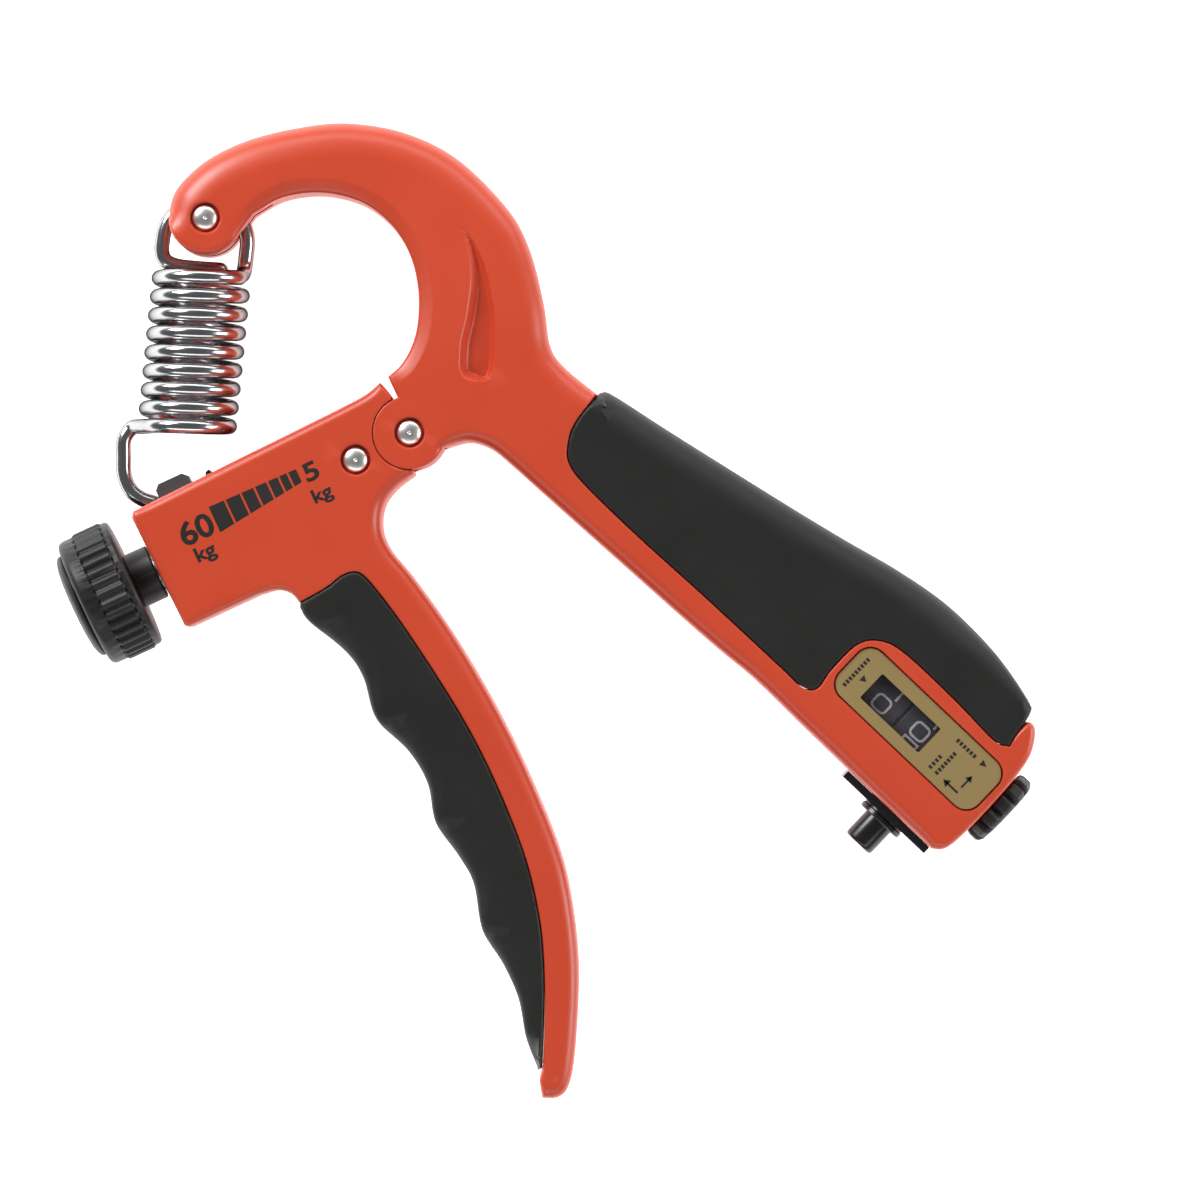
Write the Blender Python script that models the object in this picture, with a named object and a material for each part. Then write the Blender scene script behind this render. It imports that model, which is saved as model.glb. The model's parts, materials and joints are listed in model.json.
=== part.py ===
"""Adjustable hand grip strengthener with a squeeze counter.

Two levers turn on one pivot. The palm lever runs up into a hook, which holds the top of a coil spring.
The bottom of the spring hangs on a nut inside the finger lever, and a knob and lead screw move the nut
along a scale from heavy to light. A small two-digit counter sits in the end of the palm lever.

The object lies on its back. Lengths in the tables below are millimetres from the main pivot, with
z = 0 on the parting plane between the front and back shells; the mesh builder turns them into metres.
"""

import math

import bmesh
import bpy
from mathutils import Matrix, Vector

# ---- driving dimensions, in millimetres ----
MM = 0.001
GAP = 0.3                    # clearance between pieces that touch
HALF = 11.5                  # half of the body's thickness
PIVOT_AT = (-5.41, 26.78)     # the main pivot, from the middle of the object's footprint

BOSS_R = 6.0                 # round end of the palm lever at the pivot
SOCKET_R = 6.35              # hollow in the finger lever that it turns in
TONGUE_HALF = 4.2            # half thickness of the finger lever's tongue
FORK_HALF = 5.3              # half width of the slot in the palm lever

RIVET_HEAD_R = 2.0
RIVET_SHAFT_R = 1.55
RIVET_HOLE_R = 1.9
WELL_R = 2.45                # the counterbore round a rivet head
WELL_DEPTH = 1.3
HOUSING_RIVET = (-9.8, -0.3)
HOOK_RIVET = (-15.4, 45.9)
HOOK_BOSS_R = 6.0
HOOK_HALF = 9.0              # half thickness at the hook's end
TAPER_FROM, TAPER_TO = 6.0, 44.0

SCREW_Y = -2.8               # the load screw's axis
SCREW_R = 2.8
SCREW_END_R = 1.6            # the plain end that turns in the end bush
SCREW_END_X = -13.2
KNOB_R = 11.2
KNOB_RIM_R = 10.9
KNOB_X = (-62.2, -51.2)
KNOB_RIBS = 30
HUB_R = 4.6
END_BUSH_X = -14.9
CORE_HALF = 6.2              # half thickness of the ribs under the rubber
HANDLE_HOLLOW = 4.2          # depth of the hollows in the handles, from the parting plane
SLOT_HALF = 5.2              # half width of the slot that the nut slides in
SLOT_END = -9.2
SPRING_PIN = (-39.3, 5.5)    # the nut's cross pin, which carries the spring
NUT_X = (-41.7, -35.9)
NUT_PIN_HOLE_R = 1.8

WIRE_R = 1.25
PIN_LOOP_R = 3.2             # hook round the nut's pin, to the middle of the wire
LOOP_CENTRE = 3.8            # middle of the upper loop, from the hook rivet
COIL_R = 6.95
COIL_TURNS = 8.5
COIL_FROM, COIL_TO = 8.8, 34.9    # along the line from the hook rivet to the nut's pin
COIL_SPLIT = 4.25            # turns in the upper length of the coil
WIRE_JOIN = 0.15             # half of the gap between two lengths of the wire, in turns of 1/12
SPRING_LEG = ((-40.1, 19.9), (-41.6, 20.2), (-43.0, 19.0), (-44.3, 16.4), (-45.4, 13.8), (-45.5, 11.0),
              (-44.4, 8.9), (-42.9, 7.5))

PLATE_CENTRE = (53.15, -75.2)     # middle of the counter's window
PLATE_ANGLE = -68.5               # direction of the counter's shaft, degrees
WHEEL_Z = 3.5
WHEEL_R = 5.3
WHEEL_WIDTH = 7.2
CARRY_Z = -4.3
LABEL_SUNK = 1.3             # depth of the label's recess
PLUNGER_T = 9.9
PLUNGER_R = 2.7
PLUNGER_HOLE_R = 4.2

CASING_SCREWS = {
    "finger": ((-41.3, -10.3), (-19.5, -11.0), (-9.3, -44.0), (-16.0, -91.5)),
    "palm": ((19.3, -5.2), (19.5, 38.6), (42.9, -72.4), (50.7, -94.3)),
}
SCREW_HEAD_R = 2.0
SCREW_HEAD_HEIGHT = 1.9
SCREW_SUNK = 0.4
SCREW_SHANK_R = 1.1

ORANGE = (0.69, 0.065, 0.026)
RUBBER = (0.022, 0.022, 0.021)
BLACK = (0.028, 0.028, 0.030)
STEEL = (0.62, 0.62, 0.64)
GOLD = (0.48, 0.35, 0.12)
DARK_GLASS = (0.06, 0.055, 0.065)
WHITE = (0.75, 0.75, 0.72)


# ---- outlines: lists of (x, y) ----
def smooth(points, step=4.0):
    """A curve through the points, sampled about every step millimetres."""
    pts = [Vector(p) for p in points]
    pts = [2 * pts[0] - pts[1]] + pts + [2 * pts[-1] - pts[-2]]
    out = []
    for a, b, c, d in zip(pts, pts[1:], pts[2:], pts[3:]):
        count = max(1, round((c - b).length / step))
        for i in range(count):
            t = i / count
            out.append(0.5 * (2 * b + (c - a) * t + (2 * a - 5 * b + 4 * c - d) * t**2
                              + (3 * b - a - 3 * c + d) * t**3))
    return [tuple(p) for p in out] + [tuple(points[-1])]


def arc(centre, radius, start, end, count=10):
    """Points on an arc, angles in degrees."""
    angles = [math.radians(start + (end - start) * i / count) for i in range(count + 1)]
    return [(centre[0] + radius * math.cos(a), centre[1] + radius * math.sin(a)) for a in angles]


def circle(centre, radius, count=20):
    return arc(centre, radius, 0, 360, count)[:-1]


def box(x0, x1, y0, y1):
    return [(x0, y0), (x1, y0), (x1, y1), (x0, y1)]


def rounded_box(x0, x1, y0, y1, r, count=4):
    corners = ((x1 - r, y1 - r, 0), (x0 + r, y1 - r, 90), (x0 + r, y0 + r, 180), (x1 - r, y0 + r, 270))
    return [p for x, y, a in corners for p in arc((x, y), r, a, a + 90, count)]


def grow(outline, distance):
    """A closed outline moved outwards, whichever way round it runs."""
    pts = [Vector(p) for p in outline]
    area = sum(a.cross(b) for a, b in zip(pts, pts[1:] + pts[:1]))
    out = []
    for a, b, c in zip(pts[-1:] + pts, pts, pts[1:] + pts[:1]):
        before, after = (b - a).normalized(), (c - b).normalized()
        mean = (before + after).normalized()
        normal = Vector((mean.y, -mean.x)) * math.copysign(1, area)
        stretch = min(1.6, 1 / max(0.1, mean.dot(before)))
        out.append(tuple(b + normal * distance * stretch))
    return out


def on_plate(points):
    """Counter coordinates (t along the shaft, v across it) to (x, y)."""
    a = math.radians(PLATE_ANGLE)
    return [(PLATE_CENTRE[0] + t * math.cos(a) - v * math.sin(a),
             PLATE_CENTRE[1] + t * math.sin(a) + v * math.cos(a)) for t, v in points]


def finger_inner_edge():
    return smooth([(-2.2, -6.4), (-6.0, -7.3), (-8.9, -9.0), (-10.8, -12.2), (-11.0, -16), (-9.5, -22),
                   (-7.5, -33), (-6.2, -46), (-5.9, -58), (-6.5, -71), (-8.2, -80), (-12, -91),
                   (-18, -102.5), (-21.5, -107.4), (-24, -108.3), (-26.2, -107.3)], 4)


def finger_seam():
    return smooth([(-24.1, -103), (-20.5, -96), (-16.8, -88), (-14, -80), (-12, -70), (-11.3, -57),
                   (-11.8, -45), (-13.8, -30), (-15.6, -21), (-17.0, -17.2), (-19.5, -16.4),
                   (-23, -17.1), (-27.9, -17.5)], 5)


def finger_outer_wave():
    return smooth([(-28.3, -18.3), (-27.9, -21), (-24.6, -28), (-23.8, -33), (-24.7, -40), (-22.2, -47),
                   (-21.6, -53), (-23.1, -59.5), (-22, -66), (-21.7, -71), (-23.6, -78.5), (-22.9, -85),
                   (-23, -91), (-24.6, -97.5), (-25, -103)], 3)


def finger_outline():
    housing = smooth([(-27.9, -17.5), (-28.5, -15.6), (-30.4, -14.1), (-33.5, -13.5)], 2)
    left_end = [(-45.9, -13.5), (-46.4, -13.0), (-46.8, 6.6), (-46.2, 7.4)]
    top = [(-30, 7.8), (-9.5, 8.3), (-4, 8.6), (-0.9, 9.4), (-0.5, 8), (-0.2, 6.45)]
    tip = [(-25.4, -104.5)]
    return (left_end + top + arc((0, 0), SOCKET_R, 95, 250, 12) + finger_inner_edge() + tip
            + finger_seam() + housing[1:])


def finger_core():
    """The rib that the rubber grip wraps round."""
    outer = smooth([(-24.2, -20.5), (-21, -29), (-20.3, -37), (-18.8, -47), (-18, -57), (-18.3, -68),
                    (-18.9, -78), (-19.9, -88)], 5)
    inner = [(-15.5, -87), (-12.5, -78), (-10, -62), (-10, -45), (-12, -30), (-14, -18), (-19, -14.5)]
    return outer + inner


def finger_hollows():
    """Spaces inside the handle part of the finger shells, above and below a stiffening rib."""
    upper = smooth([(-21, -20.5), (-18, -30), (-17, -41)], 6)
    upper += smooth([(-11.6, -41), (-13.1, -30), (-14.4, -20.5)], 6)
    lower = smooth([(-16.6, -48), (-16, -57), (-16.2, -68), (-17.2, -81)], 6)
    lower += smooth([(-11.2, -79), (-9, -68), (-8.3, -57), (-8.4, -48)], 6)
    return upper, lower


def palm_inner_edge():
    return smooth([(48.4, -97.3), (46.5, -92.5), (43, -83.5), (38, -70.5), (34, -60), (29.2, -49.7),
                   (16.2, -19.5), (13, -12), (11, -7.9), (8.5, -5.4), (5.5, -4.3)], 6)


def palm_seam():
    return smooth([(30.3, -7.2), (25, -10), (22.6, -12.5), (21.4, -15.5), (22.3, -20), (26.5, -31),
                   (32.4, -45), (38.5, -60), (40.4, -64.6), (42.6, -65.8), (46, -64), (51.6, -62.1),
                   (55.3, -63.3), (58, -67), (62, -77), (65, -85.6), (66.9, -87.6)], 4)


def palm_grip_outer():
    return smooth([(30.3, -7.2), (31.6, -7.2), (33.2, -9), (39, -18.2), (50.7, -36.2), (57, -45.6),
                   (63, -54.2), (68, -63), (71.5, -73), (73, -82), (72.4, -84.2), (69, -86.2),
                   (66.9, -87.6)], 4)


def palm_end():
    return smooth([(66.9, -87.6), (69, -86.2), (71.2, -85.3), (72, -86.2), (71.2, -88.2), (68.5, -91),
                   (62, -94.3), (54, -97.4), (50.3, -98.2), (48.4, -97.3)], 3)


def hook_inner_edge():
    return smooth([(-8, 43.2), (-3, 43.6), (2, 42.3), (6, 40), (9.5, 36.5), (11.8, 31.5), (12.3, 26),
                   (11.2, 20.7), (9, 16), (6.5, 12.8), (3.5, 10.6), (0.7, 9.7)], 3.5)


def hook_outer_edge():
    return smooth([(-16.5, 53), (-11, 54.5), (-4, 54.6), (4, 53.1), (12, 50.3), (20, 44.8), (26, 37.2),
                   (29.9, 26.5), (30.4, 19), (28.8, 10.2), (26.8, 3.4), (27.3, -0.8), (30.3, -7.2)], 4)


def palm_outline():
    """Clockwise from the shoulder that rests on the finger lever."""
    shoulder = [(0.7, 5.96), (0.7, 9.7)]
    inner_hook = hook_inner_edge()[::-1]
    boss = arc(HOOK_RIVET, HOOK_BOSS_R, -50, -240, 12)
    hub = arc((0, 0), BOSS_R, -36, -262, 18)
    return (shoulder + inner_hook[1:] + boss + hook_outer_edge() + palm_seam()[1:]
            + palm_end()[1:] + palm_inner_edge()[1:] + hub)


def palm_core():
    """The rib that the rubber palm grip wraps round."""
    outer = smooth([(31.5, -13), (38, -23.5), (47, -37.2), (54, -47.6), (60, -56), (64.3, -64.5),
                    (67.3, -74), (68, -81.5)], 8)
    inner = [(63, -84), (56, -67), (44, -60), (36, -60), (28.5, -44), (18.5, -20), (24.5, -7)]
    return outer + inner


def palm_hollows():
    """Spaces inside the palm shells: the hook, and the handle."""
    hook = smooth([(-1, 47), (6, 45.5), (12, 42), (15.5, 37), (18.5, 29), (18.5, 21)], 6)
    hook += smooth([(25.5, 22), (24.5, 30), (21, 36.5)], 6)
    hook += [(16, 42), (9, 47.5), (0, 50.5)]
    handle = [(33, -19), (45, -37.5), (51, -46.5), (50, -57), (37.5, -57), (30, -41), (22, -21)]
    return hook[::-1], handle


# ---- mesh helpers ----
def clear_scene():
    for obj in list(bpy.data.objects):
        bpy.data.objects.remove(obj)


def material(name, colour, roughness, metallic=0.0):
    mat = bpy.data.materials.new(name)
    mat.use_nodes = True
    shader = mat.node_tree.nodes["Principled BSDF"]
    shader.inputs["Base Color"].default_value = (*colour, 1)
    shader.inputs["Roughness"].default_value = roughness
    shader.inputs["Metallic"].default_value = metallic
    mat.diffuse_color = (*colour, 1)
    return mat


def add_object(name, bm, mat=None, origin=(0, 0)):
    """An object from a mesh in pivot millimetres; its own origin is at the (x, y) given."""
    bmesh.ops.recalc_face_normals(bm, faces=bm.faces)
    bm.transform(Matrix.Scale(MM, 4) @ Matrix.Translation((-origin[0], -origin[1], 0)))
    mesh = bpy.data.meshes.new(name)
    bm.to_mesh(mesh)
    bm.free()
    mesh.shade_smooth()
    mesh.set_sharp_from_angle(angle=math.radians(35))
    if mat:
        mesh.materials.append(mat)
    obj = bpy.data.objects.new(name, mesh)
    bpy.context.scene.collection.objects.link(obj)
    obj.location = ((PIVOT_AT[0] + origin[0]) * MM, (PIVOT_AT[1] + origin[1]) * MM, HALF * MM)
    return obj


def prism_mesh(outline, z0, z1, bevel_top=0.0, bevel_bottom=0.0):
    bm = bmesh.new()
    face = bm.faces.new([bm.verts.new((x, y, z0)) for x, y in outline])
    bmesh.ops.recalc_face_normals(bm, faces=[face])
    made = bmesh.ops.extrude_face_region(bm, geom=[face])["geom"]
    verts = [v for v in made if isinstance(v, bmesh.types.BMVert)]
    bmesh.ops.translate(bm, verts=verts, vec=(0, 0, z1 - z0))
    for z, width in ((z1, bevel_top), (z0, bevel_bottom)):
        if width:
            rim = [e for e in bm.edges if all(abs(v.co.z - z) < 1e-6 for v in e.verts)]
            bmesh.ops.bevel(bm, geom=rim, offset=width, segments=1, profile=0.6, affect="EDGES",
                            clamp_overlap=True)
    return bm


def prism(name, outline, z0, z1, mat=None, bevel_top=0.0, bevel_bottom=0.0, origin=(0, 0)):
    return add_object(name, prism_mesh(outline, z0, z1, bevel_top, bevel_bottom), mat, origin)


def turned_mesh(profile, sides=24):
    """A solid of revolution about z from (radius, z) pairs; a radius of 0 closes it on the axis."""
    bm = bmesh.new()
    rings = []
    for r, z in profile:
        if r == 0:
            rings.append([bm.verts.new((0, 0, z))])
        else:
            rings.append([bm.verts.new((x, y, z)) for x, y in circle((0, 0), r, sides)])
    closed = profile[0][0] and profile[-1][0]
    pairs = list(zip(rings, rings[1:])) + ([(rings[-1], rings[0])] if closed else [])
    for low, high in pairs:
        for i in range(sides):
            j = (i + 1) % sides
            loop = [low[i % len(low)], low[j % len(low)], high[j % len(high)], high[i % len(high)]]
            bm.faces.new(list(dict.fromkeys(loop)))
    return bm


def along(bm, start, direction):
    """Turns a mesh made about z so that its axis runs along direction from start."""
    turn = Vector((0, 0, 1)).rotation_difference(Vector(direction)).to_matrix().to_4x4()
    bm.transform(Matrix.Translation(start) @ turn)
    return bm


def cylinder_mesh(start, direction, length, radius, sides=20):
    return along(turned_mesh([(0, 0), (radius, 0), (radius, length), (0, length)], sides), start, direction)


def tube_mesh(start, direction, length, outer, inner, sides=20):
    profile = [(inner, 0), (outer, 0), (outer, length), (inner, length)]
    return along(turned_mesh(profile, sides), start, direction)


def cut(target, *meshes):
    """Takes each mesh out of the target with a Boolean; the cutters stay as hidden guides."""
    for bm in meshes:
        boolean(target, bm, "DIFFERENCE")


def join(target, *meshes):
    for bm in meshes:
        boolean(target, bm, "UNION")


def boolean(target, bm, operation):
    guide = add_object(f"{target.name}_{operation.lower()}_{len(target.modifiers)}", bm)
    guide.hide_render = True
    guide.display_type = "WIRE"
    mod = target.modifiers.new(operation.title(), "BOOLEAN")
    mod.operation = operation
    mod.solver = "EXACT"
    mod.object = guide


def wire(name, points, radius, mat, resolution=1):
    """A round wire through points in pivot millimetres, with closed ends."""
    data = bpy.data.curves.new(name, "CURVE")
    data.dimensions = "3D"
    data.bevel_depth = radius * MM
    data.bevel_resolution = resolution
    data.use_fill_caps = True
    spline = data.splines.new("POLY")
    spline.points.add(len(points) - 1)
    for target, p in zip(spline.points, points):
        target.co = (p[0] * MM, p[1] * MM, p[2] * MM, 1)
    data.materials.append(mat)
    obj = bpy.data.objects.new(name, data)
    bpy.context.scene.collection.objects.link(obj)
    obj.location = (PIVOT_AT[0] * MM, PIVOT_AT[1] * MM, HALF * MM)
    return obj


def plate_axis():
    a = math.radians(PLATE_ANGLE)
    return Vector((math.cos(a), math.sin(a), 0)), Vector((-math.sin(a), math.cos(a), 0))


def at_plate(t, v, z):
    x, y = on_plate([(t, v)])[0]
    return Vector((x, y, z))


# ---- pieces shared by both levers ----
def hook_half(y):
    """Half thickness of the palm lever, thinner towards the end of the hook."""
    s = min(1, max(0, (y - TAPER_FROM) / (TAPER_TO - TAPER_FROM)))
    return HALF + (HOOK_HALF - HALF) * s * s * (3 - 2 * s)


def rivet(name, at, half, mat):
    """A rivet through the whole thickness, with a domed head in a well at each end."""
    floor = half - WELL_DEPTH + GAP
    side = [(RIVET_SHAFT_R, 0), (RIVET_SHAFT_R, floor), (RIVET_HEAD_R, floor), (RIVET_HEAD_R, half - 0.5),
            (1.3, half - 0.1), (0, half)]
    profile = [(r, -z) for r, z in side[:0:-1]] + side[1:]
    return add_object(name, along(turned_mesh(profile, 16), (*at, 0), (0, 0, 1)), mat, at)


def rivet_cutters(at, half, sign):
    hole = cylinder_mesh((*at, -sign), (0, 0, sign), half + 3, RIVET_HOLE_R, 16)
    well = cylinder_mesh((*at, sign * (half - WELL_DEPTH)), (0, 0, sign), 4, WELL_R, 20)
    return hole, well


def casing_screw(name, at, half, mat):
    """A screw driven in from the back, with a cross recess in its head."""
    head_top = -half + SCREW_SUNK
    under = head_top + SCREW_HEAD_HEIGHT
    profile = [(0, head_top), (SCREW_HEAD_R - 0.3, head_top), (SCREW_HEAD_R, head_top + 0.4),
               (SCREW_HEAD_R, under), (SCREW_SHANK_R, under), (SCREW_SHANK_R, 5.4), (0, 6)]
    obj = add_object(name, along(turned_mesh(profile, 12), (*at, 0), (0, 0, 1)), mat, at)
    for long, wide in ((1.2, 0.25), (0.25, 1.2)):
        arm = box(at[0] - long, at[0] + long, at[1] - wide, at[1] + wide)
        cut(obj, prism_mesh(arm, head_top - 1, head_top + 0.7))


def screw_cutters(at, half, sign):
    """The blind hole in a front shell, or the through hole and head seat in a back shell."""
    if sign > 0:
        return [cylinder_mesh((*at, -1), (0, 0, 1), 7.6, SCREW_SHANK_R + GAP, 12)]
    seat_depth = SCREW_SUNK + SCREW_HEAD_HEIGHT + GAP
    head = cylinder_mesh((*at, -half - 2), (0, 0, 1), 2 + seat_depth, SCREW_HEAD_R + GAP, 16)
    return [head, cylinder_mesh((*at, -half - 1), (0, 0, 1), half + 2, SCREW_SHANK_R + GAP, 12)]


def half_range(sign, low, high):
    """A z range on the front (sign 1) or back (sign -1) side, ordered."""
    return tuple(sorted((sign * low, sign * high)))


# ---- finger lever ----
def finger_shell(name, sign, mat):
    """One half of the finger lever's casing; sign is 1 for the front and -1 for the back."""
    z0, z1 = half_range(sign, GAP / 2, HALF)
    bevels = {"bevel_top": 1.3} if sign > 0 else {"bevel_bottom": 1.3}
    shell = prism(name, finger_outline(), z0, z1, mat, **bevels)
    tongue = arc((0, 0), BOSS_R, 90, -90, 12) + [(-9, -6), (-9, 6)]
    join(shell, prism_mesh(finger_core(), *half_range(sign, GAP / 2, CORE_HALF)),
         prism_mesh(tongue, *half_range(sign, GAP / 2, TONGUE_HALF)))
    cavity = prism_mesh(box(-44.6, -14.9, -7.3, 5.6), *half_range(sign, -1, 9.4))
    channel = prism_mesh(box(-43.5, SLOT_END, 2.6, 12), *half_range(sign, -1, SLOT_HALF))
    mouth = prism_mesh(box(-49, -40, 5.0, 12), *half_range(sign, -1, SLOT_HALF))
    end_seat = cylinder_mesh((END_BUSH_X - GAP, SCREW_Y, 0), (1, 0, 0), 2.6, 3.5)
    bush_hole = cylinder_mesh((-48, SCREW_Y, 0), (1, 0, 0), 4.2, 5.3)
    pin_hole = cylinder_mesh((0, 0, -8), (0, 0, 1), 16, 3.3)
    cut(shell, cavity, channel, mouth, end_seat, bush_hole, pin_hole,
        *rivet_cutters(HOUSING_RIVET, HALF, sign))
    for hollow in finger_hollows():
        cut(shell, prism_mesh(hollow, *half_range(sign, -1, HANDLE_HOLLOW)))
    for at in CASING_SCREWS["finger"]:
        cut(shell, *screw_cutters(at, HALF, sign))


def rubber_grip(name, outline, shell_outline, core, mat, bevel):
    """Rubber over the outer side of a handle, moulded to the shell's edge and its core rib."""
    grip = prism(name, outline, -HALF, HALF, mat, bevel, bevel)
    cut(grip, prism_mesh(grow(shell_outline, GAP), -HALF - 1, HALF + 1),
        prism_mesh(grow(core, GAP), -CORE_HALF - GAP, CORE_HALF + GAP))


def finger_lever(mats):
    finger_shell("finger_front_shell", 1, mats["orange"])
    finger_shell("finger_back_shell", -1, mats["orange"])
    outline = finger_outer_wave() + finger_seam()[1:]
    rubber_grip("finger_grip", outline, finger_outline(), finger_core(), mats["rubber"], 1.0)
    rivet("housing_rivet", HOUSING_RIVET, HALF, mats["steel"])
    for i, at in enumerate(CASING_SCREWS["finger"], 1):
        casing_screw(f"finger_casing_screw_{i}", at, HALF, mats["steel"])
    bush = tube_mesh((0, 0, -TONGUE_HALF), (0, 0, 1), 2 * TONGUE_HALF, 3.0, 1.9)
    add_object("pivot_bush", bush, mats["steel"])
    axis = (1, 0, 0)
    wall_bush = tube_mesh((-46.9, SCREW_Y, 0), axis, 2.0, 5.0, SCREW_R + GAP)
    add_object("screw_bush", wall_bush, mats["black"], (-46.9, SCREW_Y))
    end = tube_mesh((END_BUSH_X, SCREW_Y, 0), axis, 2.0, 3.2, SCREW_END_R + GAP)
    add_object("screw_end_bush", end, mats["black"], (END_BUSH_X, SCREW_Y))


# ---- load adjuster ----
def ribbed_outline(radius, depth, count):
    """Circle with a shallow groove between each two ribs."""
    out = []
    for i in range(count):
        for share, r in ((0.0, radius), (0.55, radius), (0.78, radius - depth)):
            a = 2 * math.pi * (i + share) / count
            out.append((r * math.cos(a), r * math.sin(a)))
    return out


def knob(mats):
    """The ribbed knob with its smooth shoulder, rim and hub, and the cap pressed into its end."""
    x0, x1 = KNOB_X
    origin = (x0, SCREW_Y)
    axis = (1, 0, 0)
    ribs = prism_mesh(ribbed_outline(KNOB_R, 0.5, KNOB_RIBS), 0, x1 - x0 - 5.5)
    body = add_object("adjuster_knob", along(ribs, (x0 + 4.6, SCREW_Y, 0), axis), mats["black"], origin)
    shoulder = turned_mesh([(0, 0), (10.0, 0), (KNOB_RIM_R, 1.0), (KNOB_RIM_R, 3.0), (0, 3.0)], 36)
    join(body, along(shoulder, (x0 + 1.9, SCREW_Y, 0), axis),
         cylinder_mesh((x1 - 1.2, SCREW_Y, 0), axis, 1.2, KNOB_RIM_R, 36),
         cylinder_mesh((x1 - 0.5, SCREW_Y, 0), axis, 4.5, HUB_R))
    cut(body, cylinder_mesh((x0 + 6.0, SCREW_Y, 0), axis, 12, SCREW_R + GAP),
        cylinder_mesh((x0 + 1, SCREW_Y, 0), axis, 3.2, 8.6))

    profile = [(0, 0), (6.0, 0.2), (8.8, 1.0), (8.9, 1.6), (8.2, 1.6), (8.2, 3.6), (0, 3.6)]
    disc = along(turned_mesh(profile, 32), (x0, SCREW_Y, 0), axis)
    cap = add_object("knob_cap", disc, mats["black"], origin)
    cut(cap, prism_mesh(box(x0 - 1, x0 + 0.8, SCREW_Y - 3.2, SCREW_Y + 3.2), -0.6, 0.6))


def lead_screw(mats):
    start = KNOB_X[0] + 6.3
    length = SCREW_END_X - start
    profile = [(0, 0), (SCREW_R, 0), (SCREW_R, length - 2), (SCREW_END_R, length - 2), (SCREW_END_R, length),
               (0, length)]
    rod = along(turned_mesh(profile, 20), (start, SCREW_Y, 0), (1, 0, 0))
    add_object("lead_screw", rod, mats["steel"], (start, SCREW_Y))
    collar = tube_mesh((-44.3, SCREW_Y, 0), (1, 0, 0), 1.3, 4.4, SCREW_R + GAP)
    add_object("thrust_collar", collar, mats["steel"], (-44.3, SCREW_Y))


def load_nut(mats):
    """The nut on the lead screw, with two cheeks that carry the cross pin, and the slider round them."""
    nut = prism("load_nut", box(-41.5, -37.1, -6.9, 1.0), -4.6, 4.6, mats["steel"], origin=SPRING_PIN)
    left, right = NUT_X
    cheek = [(left, 0.4), (right - 0.7, 0.4), (right - 0.7, 3.4), (right, 3.4), (right, 9.4),
             (right - 0.5, 9.9), (left + 0.5, 9.9), (left, 9.4)]
    for z0, z1 in ((1.75, 3.3), (-3.3, -1.75)):
        join(nut, prism_mesh(cheek, z0, z1))
    pin_hole = ((*SPRING_PIN, -9), (0, 0, 1), 18, NUT_PIN_HOLE_R, 16)
    cut(nut, cylinder_mesh((-44, SCREW_Y, 0), (1, 0, 0), 10, SCREW_R + GAP), cylinder_mesh(*pin_hole))
    pin = cylinder_mesh((*SPRING_PIN, -4.8), (0, 0, 1), 9.6, NUT_PIN_HOLE_R - GAP, 16)
    add_object("nut_pin", pin, mats["steel"], SPRING_PIN)

    slider = prism("nut_slider", box(-41.7, -31.7, 3.0, 7.0), -4.9, 4.9, mats["black"], origin=SPRING_PIN)
    tab = [(-34.0, 6.5), (-31.9, 6.5), (-31.9, 7.6), (-32.4, 8.6), (-33.0, 8.4)]
    join(slider, prism_mesh(tab, -4.0, 4.0))
    cut(slider, prism_mesh(box(-43, -34.6, 2, 8), -3.6, 3.6), cylinder_mesh(*pin_hole))


# ---- spring ----
def spring_line():
    """Start, direction and side direction of the spring, from the hook rivet to the nut's pin."""
    start = Vector((*HOOK_RIVET, 0))
    way = (Vector((*SPRING_PIN, 0)) - start).normalized()
    return start, way, Vector((-way.y, way.x, 0))


def spring(mats):
    """One wire in four lengths, so that it can swing and stretch, and the bush that it hangs on."""
    start, way, side = spring_line()
    up = Vector((0, 0, 1))
    steps = 12

    bush = tube_mesh((*HOOK_RIVET, -1.6), up, 3.2, 1.9, RIVET_SHAFT_R + GAP / 2, 16)
    add_object("spring_bush", bush, mats["steel"], HOOK_RIVET)

    centre = start + way * LOOP_CENTRE
    swing = [math.radians(a) for a in range(-114, 115, 12)]
    loop = [centre + COIL_R * (side * math.sin(a) - way * math.cos(a)) for a in swing]
    wire("spring_upper_loop", loop, WIRE_R, mats["steel"])

    split = round(COIL_SPLIT * steps)
    last = round(COIL_TURNS * steps)
    lengths = {"spring_coil_upper": list(range(split)) + [split - WIRE_JOIN],
               "spring_coil_lower": [split + WIRE_JOIN] + list(range(split + 1, last)) + [last - WIRE_JOIN]}
    for name, places in lengths.items():
        coil = []
        for place in places:
            turn = 2 * math.pi * place / steps
            down = COIL_FROM + (COIL_TO - COIL_FROM) * place / last
            coil.append(start + way * down + COIL_R * (side * math.cos(turn) + up * math.sin(turn)))
        wire(name, coil, WIRE_R, mats["steel"])

    leg = smooth(SPRING_LEG, 2.5)
    ring = arc(SPRING_PIN, PIN_LOOP_R, 160, 395, 10)
    wire("spring_lower_hook", [(x, y, 0) for x, y in leg + ring], WIRE_R, mats["steel"])


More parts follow.
